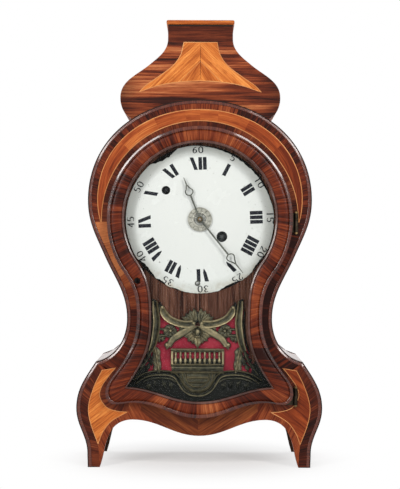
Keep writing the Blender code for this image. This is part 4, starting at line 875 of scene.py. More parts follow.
lipProfile = [
    (0.0, 0.0), (0.0, 0.38), (0.05, 0.467), (0.10, 0.50), (0.60, 0.828), (0.65, 0.861), (0.74, 0.88),
    (0.84, 0.85), (0.93, 0.72), (1.0, 0.45), (1.0, 0.0),
]
sunk = boardFront + inlayShape["deep"]


# painted light and shade for the crossband leaves
bandShadings = [  # how much paler, then the stretch's ends in x and in z
    (2.9, -1.0, 0.0, 0.258, 0.339), (1.3, -1.0, 0.0, 0.218, 0.258), (-0.75, -1.0, 1.0, 0.0, 0.50),
    (-0.45, 0.05, 1.0, 0.0, 1.0), (-0.45, 0.05, 1.0, 0.0, 0.26),
]


def bandTone(p):
    # painted light and shade: a few paler leaves on the left flank, darker ones down the right and below the top
    return sum(tone for tone, left, right, low, high in bandShadings if left < p.x < right and low < p.y < high)


def makeFrontBoard():
    shape = inlayShape
    opening = offsetLine(sightRing, sightShape["opening"], ring=True)
    core = frontMesh("core", [caseRing, opening], boardFront + 0.0004, boardBack, angle=90)
    low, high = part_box("door_latch")
    middle = (low.x + high.x) / 2
    (left, below), (right, above) = shape["notch"]
    notch = boxMesh("notch", (middle + left, boardFront - shape["beyond"], low.z - below),
                    (middle + right, boardBack + shape["beyond"], high.z + above))
    core = tidyMesh(appliedMesh("boardCore", core, [notch]), "boardCore", angle=90)
    addPiece("boardCore", core, "case", [rosewoodDark], ["front_board"])

    upper = outerSide[:shoulderIndex + 1]
    edge = matchedTo(upper, doorFine)
    ways = [(q - p).normalized() for p, q in zip(upper, edge)]
    widths = [(q - p).length for p, q in zip(upper, edge)]
    rimInner = [p + way * shape["bandStart"] for p, way in zip(upper, ways)]
    under = [q + way * shape["under"] for q, way in zip(edge, ways)]
    outerLine = spanned(rimInner)
    leaves = leavesAlong(outerLine, *shape["bandLeaves"])
    leaves = [(u, v, tone + bandTone(p)) for (u, v, tone), p in zip(leaves, outerLine)]
    band = bandMesh("boardCrossband", outerLine, spanned(under), boardFront, sunk, 6, leaves=leaves)
    addPiece("boardCrossband", band, "case", [rosewoodBand])

    # where the band is wide enough a crescent of tulipwood fills it
    wide = [i for i, width in enumerate(widths) if width > shape["crescentLeast"]]
    last = max(i for i in wide if upper[i].y > shape["crescentFloor"])
    stations = range(last + 1)
    start = shape["crescentStart"]
    outerEdge = [upper[i] + ways[i] * start for i in stations]
    innerEdge = [edge[i] - ways[i] * min(shape["doorBand"], widths[i] - start) for i in stations]
    crescentOuter, crescentInner = spanned(outerEdge), spanned(innerEdge)
    leaves = []
    for p in crescentOuter:
        kind = sum(abs(p.x + shape["crescentAside"]) >= cut for cut in shape["crescentCuts"])
        # painted shade: leaves on the right beyond the middle cut are darker
        tone = shape["crescentTones"][kind] - shape["crescentShade"] * (p.x > shape["crescentCuts"][1])
        leaves.append((kind * 1.7 + (0.4 if p.x < 0 else 0.0), kind * 0.9, tone))
    front = boardFront - shape["lift"]
    crescent = bandMesh("crescent", crescentOuter, crescentInner, front, sunk, leaves=leaves, turnGrain=True)
    addPiece("crescent", crescent, "case", [tulipDeep])
    leaves = leavesAlong(crescentInner, *shape["doorLeaves"])
    innerBand = bandMesh("doorBand", crescentInner, spanned([under[i] for i in stations]),
                         front + 0.00002, sunk, 4, leaves=leaves)
    addPiece("doorBand", innerBand, "case", [rosewoodDark])
    front -= shape["lift"]
    strings = [
        stringMesh("string", offsetLine(crescentOuter, 0.0002), front, sunk),
        stringMesh("string", offsetLine(crescentInner, -0.0001), front, sunk),
    ]
    addPiece("boardStrings", joinedMesh("boardStrings", strings), "case", [stringWood])

    edging = shape["edging"]
    rimLine = spanned(offsetLine(outerSide, -edging - shape["rim"] / 2))
    profile = [(2 * a - 1, b * shape["rimRise"]) for a, b in beadProfile]
    rim = mouldMesh("rimBead", rimLine, shape["rim"], profile, boardFront + 0.0001)
    addPiece("rimBead", rim, "case", [beadWood])
    edgeLine = spanned(offsetLine(outerSide, -edging / 2))
    rim = stringMesh("rimEdge", edgeLine, boardFront - shape["edgingRise"], sunk, edging)
    addPiece("rimEdge", rim, "case", [edgeWood])
    return edge[-1]


# foot panels, their borders and the apron, right side as x and z in millimetres
footShape = dict(
    corner=(134.7, 134.0), outer=[(145.9, 110.9), (153.2, 84.4), (150.6, 61.9)], low=(139.9, 32.0),
    toe=[(138.2, 15.0), (137.8, 0.0)], under=[(134.0, 47.3), (122.1, 63.1)], inner=(99.6, 76.4),
    round=[(112.8, 77.4), (128.3, 82.9), (137.6, 97.4), (135.2, 111.2), (125.4, 126.0)], tip=(116.1, 137.3),
    cornerTop=(121.5, 127.0), cornerLow=(98.5, 90.5), apronTop=(81.1, 78.4), apronLow=(55.9, 59.0),
)
footLay = dict(  # in metres; leaves as shortest, longest and spread of tone
    rim=0.0042, tuck=0.003, cornerTuck=0.002, seam=0.0016, shoe=0.0026, string=0.0009,
    crossLeaves=(0.018, 0.040, 0.7), cornerLeaves=(0.012, 0.022, 0.6),
)
footLift = dict(ground=0.0, band=0.00005, panel=0.00009, string=0.00013, shoe=0.00016)
footLooks = {
    "ground": ("rosewood", rosewoodBand), "cross": ("rosewood", rosewoodDark),
    "panel": ("tulipwood", tulipLight), "panelDeep": ("tulipwood", tulipDeep),
    "corner": ("rosewood", rosewoodDark), "apron": ("tulipwood", apronWood),
    "string": ("tulipwood", stringWood), "shoe": ("rosewood", edgeWood),
}


def makeFeetInlay(doorEnd):
    shape, lay = footShape, footLay
    outer = throughPoints(inMetres([shape["corner"]] + shape["outer"] + [shape["low"]]))
    under = throughPoints(inMetres([shape["low"]] + shape["under"] + [shape["inner"]]))
    inner = throughPoints(inMetres([shape["inner"]] + shape["round"] + [shape["tip"]]))
    panel = outer[:-1] + under[:-1] + inner
    foot = outerSide[shoulderIndex:]
    footRim = [p + Vector((-lay["rim"], 0)) if i else p for i, p in enumerate(foot)]
    cross = evenly(footRim, 60), evenly(outer + inMetres(shape["toe"]), 60)
    edge = doorFine[nearest(doorFine, *doorEnd):]
    tuck = lay["tuck"]
    inset = [p + Vector((-tuck if p.x > 0.09 else 0.0, tuck)) for p in edge]
    ground = foot + underSide[:-1] + [Vector((0.0, caseShape["apron"]))] + inset[::-1]

    def edgeAt(key):
        return nearest(edge, *inMetres([shape[key]])[0])

    corner = edge[edgeAt("cornerTop"):edgeAt("cornerLow") + 1]
    corner = [p + Vector((-tuck, lay["cornerTuck"])) for p in corner][::-1]
    corner = evenly(inner, 50), evenly(corner, 50)
    apronLow = nearest(underSide, *inMetres([shape["apronLow"]])[0])
    apronSide = inMetres([shape["apronTop"]]) + underSide[apronLow:-1]
    apronDoor = [p + Vector((0, tuck)) for p in edge[edgeAt("apronTop"):][::-1]][1:]
    # a dark strip along the bottom of the toes: the shoe, darkened as painted shadow
    shoe = belowLevel(outerSide, lay["shoe"]) + [p for p in underSide if p.y < lay["shoe"]]
    pieces = {kind: [] for kind in footLooks}
    for side in (1, -1):
        def sided(line):
            return line if side > 0 else flipX(line)

        def flat(kind, line, lift, angle=0.0, leafTone=0.0, shift=(0.0, 0.0)):
            front = boardFront - footLift[lift]
            made = frontMesh(kind, [sided(line)], front, sunk, angle * side, leafTone, shift)
            pieces[kind].append(made)

        def banded(kind, lines, across, leaves):
            front = boardFront - footLift["band"]
            made = bandMesh(kind, sided(lines[0]), sided(lines[1]), front, sunk, across, leaves=leaves)
            pieces[kind].append(made)

        flat("ground", ground, "ground", 62, 0.1, (0.3 * side, 0.7))
        leaves = leavesAlong(sided(cross[0]), 23 + side, *lay["crossLeaves"])
        # painted shade: the right foot's crossband is darker and its panel is in deeper tulipwood with a darker
        # tone
        banded("cross", cross, 5, [(u, v, tone - 0.70 - 0.25 * side) for u, v, tone in leaves])
        kind, tone = ("panel", -0.55) if side < 0 else ("panelDeep", -0.95)
        flat(kind, panel, "panel", -38, tone, (0.9, 0.4 * side))
        banded("corner", corner, 4, leavesAlong(sided(corner[0]), 31 + side, *lay["cornerLeaves"]))
        seam = [Vector((-lay["seam"] * side, z)) for z in (caseShape["apron"], doorShape["foot"] + tuck)]
        flat("apron", apronSide + seam + apronDoor, "band", 34, 0.08 * side - 1.05, (0.2, 0.1 * side))
        flat("shoe", shoe, "shoe")
        line = sided(evenly(panel, 150))
        string = stringMesh("string", line, boardFront - footLift["string"], sunk, lay["string"], ring=True)
        pieces["string"].append(string)
    for kind, made in pieces.items():
        slotName, material = footLooks[kind]
        name = "foot" + kind[0].upper() + kind[1:]
        addPiece(name, joinedMesh(name, made), "case", [material])


doorEnd = makeFrontBoard()
makeFeetInlay(doorEnd)
print("front board inlaid")


# bent sides, foot panels, crest and cap
def wallMesh(name, outer, inner, turnGrain=False):
    # a bent wall from the front board to the back
    steps = 6
    rows = []
    for a, b in zip(outer, inner):
        row = [(a.x, sideFront + (sideBack - sideFront) * k / steps, a.y) for k in range(steps + 1)]
        rows.append(row + [(b.x, sideBack, b.y), (b.x, sideFront, b.y)])
    return gridMesh(name, rows, ringAcross=True, caps=True, turnGrain=turnGrain)


def makeSides():
    shape = caseShape
    lines = (outerSide, offsetLine(outerSide, -shape["wall"]))
    uppers = [evenly(aboveLevel(line, shape["jointZ"]), 160) for line in lines]
    lowers = [evenly(belowLevel(line, shape["jointZ"] - shape["jointGap"]), 70) for line in lines]
    for line in uppers:
        line[0] = Vector((shape["jointGap"] / 2, line[0].y))
    start, end = sideFront + shape["legFront"], sideBack - shape["legBack"]
    middle, half = (start + end) / 2, (end - start) / 2
    curve = throughPoints([(-half * share, height) for share, height in shape["footArch"]])
    loop = [Vector((p.x + middle, p.y)) for p in curve + flipX(curve)[1:]]
    for side in ("right", "left"):
        if side == "left":
            uppers = [flipX(line) for line in uppers]
            lowers = [flipX(line) for line in lowers]
        mesh = wallMesh("side", *uppers, turnGrain=True)
        mesh.set_sharp_from_angle(angle=math.radians(38))
        addPiece(side + "Side", mesh, "case", [sideWood], [side + "_side"])
        tool = frontMesh("tool", [loop], -0.3, 0.3)
        tool.transform(Matrix.Rotation(math.radians(90), 4, "Z"))
        foot = appliedMesh("footPanel", wallMesh("foot", *lowers), [tool])
        foot = tidyMesh(foot, side + "FootPanel", leafTone=-0.1, sharp=30)
        addPiece(side + "FootPanel", foot, "case", [rosewoodLong], [side + "_foot_panel"])


# outline in metres, panel in millimetres
crestShape = dict(
    top=0.6135, neckHalf=0.0450, neckZ=0.5940, sweep=(0.0700, 0.5585), half=0.1110, wideZ=0.5125,
    cheek=(0.1088, 0.4990), footHalf=0.0950, gap=0.0003, neckLow=0.5910, shadowLine=0.0022, rounding=0.0022,
    panelTop=(23.0, 589.2), panelSide=[(27.7, 571.2), (39.0, 556.0), (58.8, 541.0), (75.0, 530.0)],
    panelTip=(84.5, 520.5), panelFoot=[(57.0, 529.5), (29.0, 534.3), (0.0, 535.9)], peak=(0.0, 563.0),
)
crestLay = dict(
    lift=0.00008, root=0.0005, shadowLineLift=0.0006, stringLift=0.00006, wedgeLift=0.00005, wedgeString=0.0007,
    seamLift=0.00007, seamString=0.0005, seamEnd=0.0006,
)
# grain, tone and place in the log of each leaf, right and left
crestLeaves = {
    "crestWings": ((-43, -0.52, (0.3, 0.2)), (43, -0.46, (0.7, 0.9))),
    "crestWedge": ((-56, -0.55, (0.1, 0.5)), (56, -0.70, (0.6, 0.2))),
}


def makeCrest():
    shape, lay = crestShape, crestLay
    topZ, neckHalf = shape["top"], shape["neckHalf"]
    arch = offsetLine(archLine, shape["gap"])
    seat = [p for p in arch if p.x < shape["footHalf"]]
    after = arch[len(seat)]
    seat.append(seat[-1].lerp(after, (shape["footHalf"] - seat[-1].x) / (after.x - seat[-1].x)))
    widest = (shape["half"], shape["wideZ"], -90)
    sweep = smoothLine([(neckHalf, shape["neckZ"], -90), (*shape["sweep"], -40), widest])
    tuck = smoothLine([widest, (*shape["cheek"], -108), (*seat[-1], -142)], steps=8)
    half = [Vector((0.0, topZ)), Vector((neckHalf, topZ))] + sweep[:-1] + tuck[:-1] + seat[::-1]
    ring = wholeRing(half)
    front = frontMesh("crestBoard", [ring], crestFront, crestRear, leafTone=-0.15)
    addPiece("crestBoard", front, "case", [crestWood], ["crest_front"])

    solid = frontMesh("solid", [ring], crestRear + shape["gap"], sideBack)
    wall = caseShape["wall"]
    inward = offsetLine(evenly(ring + ring[:1], 400)[:-1], -wall, ring=True)
    inward = [p for p in inward if min((p - q).length for q in ring) > wall * 0.93]
    hollow = frontMesh("hollow", [inward], crestRear - 0.002, sideBack - wall)
    shell = tidyMesh(appliedMesh("crestBody", solid, [hollow]), "crestBody", sharp=30)
    addPiece("crestBody", shell, "case", [bodyWood], ["crest_shell"])

    # the panel: two wings, two wedges below them, strings and a seam
    top, tip, peak = inMetres([shape["panelTop"], shape["panelTip"], shape["peak"]])
    foot = inMetres(shape["panelFoot"])
    side = throughPoints([top] + inMetres(shape["panelSide"]) + [tip])
    base = throughPoints([tip] + foot)
    split = nearest(base, *foot[1])
    panelTop = [Vector((0.0, top.y))]
    wing = panelTop + side[:-1] + base[:split + 1] + [peak]
    wedge = [peak] + base[split:]
    lift, root = crestFront - lay["lift"], crestFront + lay["root"]
    for name, loop in (("crestWings", wing), ("crestWedge", wedge)):
        pair = zip((loop, flipX(loop)), crestLeaves[name])
        made = [frontMesh("leaf", [line], lift, root, *cut) for line, cut in pair]
        addPiece(name, joinedMesh(name, made), "case", [tulipLight])

    def neckLoop(low):
        return [(-neckHalf, topZ), (neckHalf, topZ), (neckHalf, low), (-neckHalf, low)]

    neck = frontMesh("crestNeck", [neckLoop(shape["neckLow"])], lift, root, leafTone=-0.4, shift=(0.4, 0.8))
    addPiece("crestNeck", neck, "case", [rosewoodDark])
    # painted shadow: a dark strip standing slightly proud on the neck just under the cap
    shadowLine = frontMesh("capShadowLine", [neckLoop(topZ - shape["shadowLine"])], lift - lay["shadowLineLift"], root)
    addPiece("capShadowLine", shadowLine, "case", [edgeWood])
    outline = wholeRing(panelTop + side[:-1] + base)
    strings = [stringMesh("string", outline, lift - lay["stringLift"], root, ring=True)]
    for way in (1, -1):
        line = [peak, Vector((base[split].x * way, base[split].y))]
        front = lift - lay["wedgeLift"]
        strings.append(stringMesh("string", evenly(line, 4), front, root, lay["wedgeString"]))
    addPiece("crestStrings", joinedMesh("crestStrings", strings), "case", [stringWood])
    end = lay["seamEnd"]
    seam = evenly([Vector((0.0, top.y - end)), Vector((0.0, base[-1].y + end))], 6)
    seam = stringMesh("crestSeam", seam, lift - lay["seamLift"], root, lay["seamString"])
    addPiece("crestSeam", seam, "case", [rosewoodDark])

    low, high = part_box("crest_cap")
    cap = tidyMesh(boxMesh("capBoard", low, high, shape["rounding"]), "capBoard", leafTone=-1.25)
    addPiece("capBoard", cap, "case", [tulipLight], ["crest_cap"])


makeSides()
makeCrest()
print("sides, feet and crest made")


# glazed door: two beads with a rounded crossbanded field between them
railShape = dict(
    innerBead=0.0030, outerBead=0.0046, joint=0.0004, crown=0.0016, fieldBack=0.0036, lipBack=0.0030,
    lipRise=0.0018, beadBack=0.0014, pocketSide=0.134, pocketGap=0.0006, pocketEnd=0.0003, bore=0.0042,
    beyond=0.002,
)
# painted light and shade on the door's rails
railShadings = [  # how much paler, then x and z of the spot and its spread both ways
    (0.75, 0.062, 0.475, 0.0011, 0.0011), (1.35, 0.076, 0.238, 0.0009, 0.0016),
    (0.90, -0.086, 0.240, 0.0012, 0.0016), (-0.70, 0.092, 0.165, 0.0012, 0.0014),
    (-0.35, -0.092, 0.165, 0.0012, 0.0014),
]


def railTone(x, z):
    # painted shade darkens the rails down the sides, with paler and darker spots of painted light and shade
    tone = -0.85 * min(max((0.50 - z) / 0.13, 0.0), 1.0) * min(max((z - 0.085) / 0.02, 0.0), 1.0)
    for share, spotX, spotZ, spreadX, spreadZ in railShadings:
        tone += share * math.exp(-((x - spotX) ** 2 / spreadX + (z - spotZ) ** 2 / spreadZ))
    return tone


def makeDoor():
    shape = railShape
    rebateFloor = doorFront + sightShape["rebateDepth"]
    fieldSteps = 10
    fieldCount = fieldSteps + 1
    # material for each strip across: 0 field, 1 outer bead, 2 lip
    slots = [2] * len(lipProfile) + [0] * (fieldCount - 1) + [1] * (len(beadProfile) + 4) + [2]
    rows = []
    for a, b in zip(sightRing, doorRing):
        width = (b - a).length
        way = (b - a) / width
        profile = []
        for share, rise in lipProfile:
            depth = doorFront + shape["lipBack"] - shape["lipRise"] * rise
            profile.append((shape["innerBead"] * share, depth))
        start, end = shape["innerBead"] + shape["joint"], width - shape["outerBead"] - shape["joint"]
        for k in range(fieldCount):
            share = k / fieldSteps
            rise = shape["crown"] * (1 - (2 * share - 1) ** 2)
            profile.append((start + (end - start) * share, doorFront + shape["fieldBack"] - rise))
        for share, rise in beadProfile:
            across = width - shape["outerBead"] * (1 - share)
            profile.append((across, doorFront + shape["beadBack"] - shape["beadBack"] * rise))
        profile += [
            (width, doorBack), (sightShape["rebate"], doorBack), (sightShape["rebate"], rebateFloor),
            (0.0, rebateFloor),
        ]
        row = []
        for across, depth in profile:
            p = a + way * across
            row.append((p.x, depth, p.y))
        rows.append(row)
    mitres = (cornerStation, len(rows) - cornerStation)
    leaves = cutLeaves(rows, 3, 0.018, 0.032, 0.75, breaks=mitres)
    spots = [row[len(lipProfile) + fieldSteps // 2] for row in rows]
    leaves = [(u, v, tone + railTone(p[0], p[2])) for (u, v, tone), p in zip(leaves, spots)]
    frameMesh = gridMesh("doorRails", rows, ringAlong=True, ringAcross=True, leaves=leaves, slots=slots)
    frameMesh.set_sharp_from_angle(angle=math.radians(40))
    tools = []
    for name in ("upper_hinge", "lower_hinge"):
        low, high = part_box(name + "_door_leaf")
        gap, end = shape["pocketGap"], shape["pocketEnd"]
        tools.append(boxMesh("pocket", (low.x - gap, low.y - gap, low.z - end),
                             (shape["pocketSide"], doorBack + shape["beyond"], high.z + end)))
    low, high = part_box("door_latch")
    centre = ((low.x + high.x) / 2, jointPlace["latch_turn"].z)
    bore = [polar(shape["bore"], 12 * k, centre) for k in range(30)]
    tools.append(frontMesh("bore", [bore], doorFront - shape["beyond"], doorBack + shape["beyond"]))
    frameMesh = appliedMesh("doorRails", frameMesh, tools)
    woods = [rosewoodBand, beadWood, lipWoodSheen]
    addPiece("doorRails", frameMesh, "front_door", woods, ["door_frame"])


makeDoor()
print("door made")

# dial
dialShape = dict(
    radius=0.1035, rim=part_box("dial")[0].y + 0.0040, dome=0.0040, thick=0.0014, hole=0.0054,
    copperInset=0.0006, copperGap=0.00005, copperThick=0.0005,
    # middle and half in degrees, depth
    chips=[
        (38, 44, 0.0040), (-30, 12, 0.0075), (227, 11, 0.0052), (212, 5, 0.0030), (199, 4, 0.0016),
        (155, 10, 0.0045), (127, 8, 0.0030), (92, 1.5, 0.0020),
    ],
    winding=[("going_wind", 0.0071), ("alarm_wind", 0.0056)], screw=(-0.0030, -0.0890),
)
# radius and depth from the dial's face; the lining's radius is counted from its hole's
screwProfile = [
    (0.0019, -0.0002), (0.0020, -0.0009), (0.0028, -0.0011), (0.0036, -0.0008), (0.0038, 0.0002),
    (0.0019, 0.0002),
]
pinProfile = [(0.00001, -0.0007), (0.0010, -0.0006), (0.0017, -0.0002), (0.0018, 0.0002), (0.00001, 0.0002)]
liningProfile = [
    (-0.0001, 0.0024), (-0.0001, -0.0002), (0.0002, -0.0003), (0.0004, -0.0001), (0.0004, 0.0024),
]


def dialFront(radius):
    return dialShape["rim"] - dialShape["dome"] * (1 - (radius / dialShape["radius"]) ** 2)


def dialEdge(degrees):
    # the rim's radius, chipped in a few places and nibbled along the lower half
    radius = dialShape["radius"] - 0.0004
    for middle, half, depth in dialShape["chips"]:
        away = abs((degrees - middle + 180) % 360 - 180) / half
        if away < 1:
            uneven = 0.75 + 0.5 * abs(noise.noise((degrees * 0.35, depth * 900, 0.0)))
            radius -= depth * (1 - away * away) * uneven
    low = 0.5 - 0.5 * math.cos(math.radians(degrees))
    rough = noise.noise((degrees * 0.9, 3.1, 0.0)) + 0.6 * noise.noise((degrees * 2.3, 7.7, 0.0))
    jag = abs(noise.noise((degrees * 5.1, 1.3, 0.0)))
    return radius - (max(0.0, rough) * 0.0012 + jag * 0.0006) * low


def windingHoles():
    for joint, radius in dialShape["winding"]:
        yield Vector((jointPlace[joint].x, jointPlace[joint].z)), radius


def drilledMesh(name, mesh):
    loops = [arcLine(radius, 0, 350, centre, 35) for centre, radius in windingHoles()]
    return appliedMesh(name, mesh, [frontMesh("hole", [loop], -0.09, -0.05) for loop in loops])


def dialTurned(name, profile, front, spot, steps):
    # a turned piece, its profile measured from the dial's face at the spot
    return latheMesh(name, [(radius, front + depth) for radius, depth in profile], spot, steps, ring=True)


def makeDial():
    hole, thick = dialShape["hole"], dialShape["thick"]
    steps, acrossSteps = 540, 18
    rows = []
    for i in range(steps):
        degrees = 360 * i / steps
        edge = dialEdge(degrees)
        spots = []
        for k in range(acrossSteps + 1):
            radius = hole + (edge - hole) * k / acrossSteps
            spots.append((radius, dialFront(radius)))
        spots += [(radius, dialFront(radius) + thick) for radius in (edge, hole)]
        row = []
        for radius, depth in spots:
            p = polar(radius, degrees, dialCentre)
            row.append((p.x, depth, p.y))
        rows.append(row)
    mesh = drilledMesh("enamel", gridMesh("enamel", rows, ringAlong=True, ringAcross=True))
    mesh.set_sharp_from_angle(angle=math.radians(45))
    addPiece("enamel", mesh, "case", [enamelWhite()], ["dial"])

    # copper plate under the enamel, bare where the enamel has chipped off, and coloured near black as painted
    # shade in the chips
    profile = []
    reach = dialShape["radius"] - dialShape["copperInset"] - hole
    for k in range(13):
        radius = hole + reach * k / 12
        profile.append((radius, dialFront(radius) + thick + dialShape["copperGap"]))
    profile += [(radius, depth + dialShape["copperThick"]) for radius, depth in reversed(profile)]
    plate = drilledMesh("dialCopperInShade", latheMesh("dialCopperInShade", profile, dialCentre, steps=120, ring=True))
    copperInShade = metal("copperInShade", (0.018, 0.016, 0.014), (0.008, 0.008, 0.008), (0.6, 0.8))
    addPiece("dialCopperInShade", plate, "case", [copperInShade])

    # a screw with its pin at the foot
    spot = dialCentre + Vector(dialShape["screw"])
    front = dialFront(abs(dialShape["screw"][1]))
    screw = dialTurned("dialScrew", screwProfile, front, spot, 40)
    addPiece("dialScrew", screw, "case", [handSteel])
    pin = dialTurned("dialPin", pinProfile, front, spot, 40)
    addPiece("dialPin", pin, "case", [steel])

    # lined winding holes
    rings = []
    for centre, hole in windingHoles():
        front = dialFront((centre - dialCentre).length)
        profile = [(hole + radius, depth) for radius, depth in liningProfile]
        rings.append(dialTurned("lining", profile, front, centre, 48))
    addPiece("windingRings", joinedMesh("windingRings", rings), "case", [blued])


# upright strokes of the hours, then the minute figures
numeralShape = dict(
    foot=0.0690, head=0.0866, stroke=0.0051, widths={"I": 0.0063, "V": 0.0112, "X": 0.0118}, askew=-2.4,
    aside=0.0008, minuteFoot=0.0925, minuteSize=(0.0088, 0.0066, 0.0011),
    # an X leans both ways; a V bends at a share of its height, with shift and width of foot and head
    lean=0.0030, bend=0.30, veeFoot=(0.0010, 0.15), veeMiddle=0.92, veeHead=(-0.0026, 1.12),
)


def raisedMesh(points, height):
    # a painted stroke given as corners about the dial's centre; height says how far a spot stands forward
    build = bmesh.new()
    face = build.faces.new([build.verts.new((x, 0.0, z)) for x, z in points])
    face.normal_update()
    if face.normal.y > 0:
        face.normal_flip()
    made = bmesh.ops.extrude_face_region(build, geom=[face])
    moved = [item for item in made["geom"] if isinstance(item, bmesh.types.BMVert)]
    for vert in build.verts:
        vert.co.y = height(math.hypot(vert.co.x, vert.co.z), vert in moved)
    bmesh.ops.recalc_face_normals(build, faces=build.faces)
    return meshFrom(build, "stroke")


def strokeMesh(points, front):
    # laid on the dome, a little to one side
    mesh = raisedMesh(points, lambda radius, raised: dialFront(radius) - (front if raised else -0.0001))
    mesh.transform(Matrix.Translation((dialCentre.x + numeralShape["aside"], 0.0, dialCentre.y)))
    return mesh


romanHours = ["XII", "I", "II", "III", "IIII", "V", "VI", "VII", "VIII", "IX", "X", "XI"]


def bar(bottom, top, low, high, atLow, atHigh):
    # a tapering stroke between two heights, widths given at each end
    atLow, atHigh = atLow / 2, atHigh / 2
    return [(bottom - atLow, low), (bottom + atLow, low), (top + atHigh, high), (top - atHigh, high)]


def romanStrokes(word):
    shape = numeralShape
    low, high, stroke, width = shape["foot"], shape["head"], shape["stroke"], shape["widths"]
    strokes = []
    x = -sum(width[letter] for letter in word) / 2
    for letter in word:
        middle = x + width[letter] / 2
        if letter == "I":
            strokes.append(bar(middle, middle, low, high, stroke, stroke))
        elif letter == "V":
            bend, full = low + (high - low) * shape["bend"], stroke * shape["veeMiddle"]
            (footShift, footShare), (headShift, headShare) = shape["veeFoot"], shape["veeHead"]
            strokes.append(bar(middle + footShift, middle, low, bend, stroke * footShare, full))
            strokes.append(bar(middle, middle + headShift, bend, high, full, stroke * headShare))
        else:
            lean = shape["lean"]
            strokes.append(bar(middle + lean, middle - lean, low, high, stroke, stroke))
        x += width[letter]
    return strokes


def turnedStroke(points, degrees):
    angle = math.radians(degrees)
    cosine, sine = math.cos(angle), math.sin(angle)
    return [(x * cosine + z * sine, z * cosine - x * sine) for x, z in points]


# how far apart figures stand, and shares of a stroke's thickness: level, added when upright, past its ends
figureShape = dict(apart=1.28, level=0.45, upright=1.05, past=0.3)
# a figure's line in a box one wide and one high
digitLines = {
    "0": [(0.5, 1.0), (0.15, 0.8), (0.1, 0.5), (0.15, 0.2), (0.5, 0.0), (0.85, 0.2), (0.9, 0.5), (0.85, 0.8),
          (0.5, 1.0)],
    "1": [(0.55, 1.0), (0.55, 0.0)],
    "2": [(0.15, 0.78), (0.4, 1.0), (0.8, 0.85), (0.75, 0.55), (0.15, 0.04), (0.88, 0.04)],
    "3": [(0.15, 0.9), (0.55, 1.0), (0.85, 0.77), (0.5, 0.54), (0.88, 0.28), (0.55, 0.0), (0.12, 0.12)],
    "4": [(0.72, 0.0), (0.72, 1.0), (0.1, 0.3), (0.92, 0.3)],
    "5": [(0.85, 1.0), (0.25, 1.0), (0.2, 0.58), (0.6, 0.62), (0.88, 0.33), (0.6, 0.02), (0.12, 0.1)],
    "6": [(0.8, 0.95), (0.35, 0.75), (0.14, 0.35), (0.4, 0.02), (0.82, 0.18), (0.78, 0.48), (0.42, 0.55),
          (0.16, 0.35)],
    "7": [(0.12, 1.0), (0.88, 1.0), (0.4, 0.0)],
    "8": [(0.5, 0.54), (0.18, 0.76), (0.5, 1.0), (0.82, 0.76), (0.5, 0.54), (0.12, 0.26), (0.5, 0.0),
          (0.88, 0.26), (0.5, 0.54)],
    "9": [(0.2, 0.05), (0.65, 0.25), (0.86, 0.65), (0.6, 0.98), (0.18, 0.82), (0.22, 0.52), (0.58, 0.45),
          (0.84, 0.65)],
}


def digitStrokes(number, foot, height, wide, thick):
    # thin painted figures made of short strokes, standing with their feet to the middle
    strokes = []
    text = str(number)
    advance = wide * figureShape["apart"]
    for place, letter in enumerate(text):
        left = (place - len(text) / 2) * advance + (advance - wide) / 2
        spots = [Vector((left + x * wide, foot + z * height)) for x, z in digitLines[letter]]
        if letter != "4":
            spots = throughPoints(spots, 3)
        for a, b in zip(spots, spots[1:]):
            if (b - a).length < 1e-6:
                continue
            way = (b - a).normalized()
            swell = thick * (figureShape["level"] + figureShape["upright"] * abs(way.y))
            side = Vector((-way.y, way.x)) * swell / 2
            end = way * thick * figureShape["past"]
            a, b = a - end, b + end
            strokes.append([tuple(p) for p in (a - side, b - side, b + side, a + side)])
    return strokes


def makeNumerals():
    shape = numeralShape
    paint = dialPaint()
    meshes = []
    for hour, word in enumerate(romanHours):
        for k, stroke in enumerate(romanStrokes(word)):
            turned = turnedStroke(stroke, hour * 30 + shape["askew"])
            meshes.append(strokeMesh(turned, 0.00010 + 0.00002 * (k % 3)))
    addPiece("hourNumerals", joinedMesh("hourNumerals", meshes), "case", [paint])
    meshes = []
    for five in range(12):
        number = five * 5 or 60
        if number == 55:
            continue  # lost with the chip
        for stroke in digitStrokes(number, shape["minuteFoot"], *shape["minuteSize"]):
            meshes.append(strokeMesh(turnedStroke(stroke, five * 30 + shape["askew"]), 0.00008))
    addPiece("minuteFigures", joinedMesh("minuteFigures", meshes), "case", [paint])


makeDial()
makeNumerals()
print("dial painted")


# hands, centre disc and nut; a hand's loop is a pear between two radii
hourShape = dict(
    length=0.0622, hub=0.0052, bore=0.0038, loopStart=0.0350, loopEnd=0.0522, loopHalf=0.0061, angle=-21.4,
)
minuteShape = dict(
    length=0.0955, hub=0.0042, bore=0.0026, loopStart=0.0620, loopEnd=0.0800, loopHalf=0.0064, angle=141.0,
)
discShape = dict(
    face=0.0003, groove=0.0001, rim=0.0009, root=0.00005, slots=((24, 114), (126, 286), (300, 372)),
    slotOuter=0.0080, slotInner=0.0060, figure=(0.0122, 0.0026, 0.0014, 0.00035), turn=159, paint=0.00006,
)


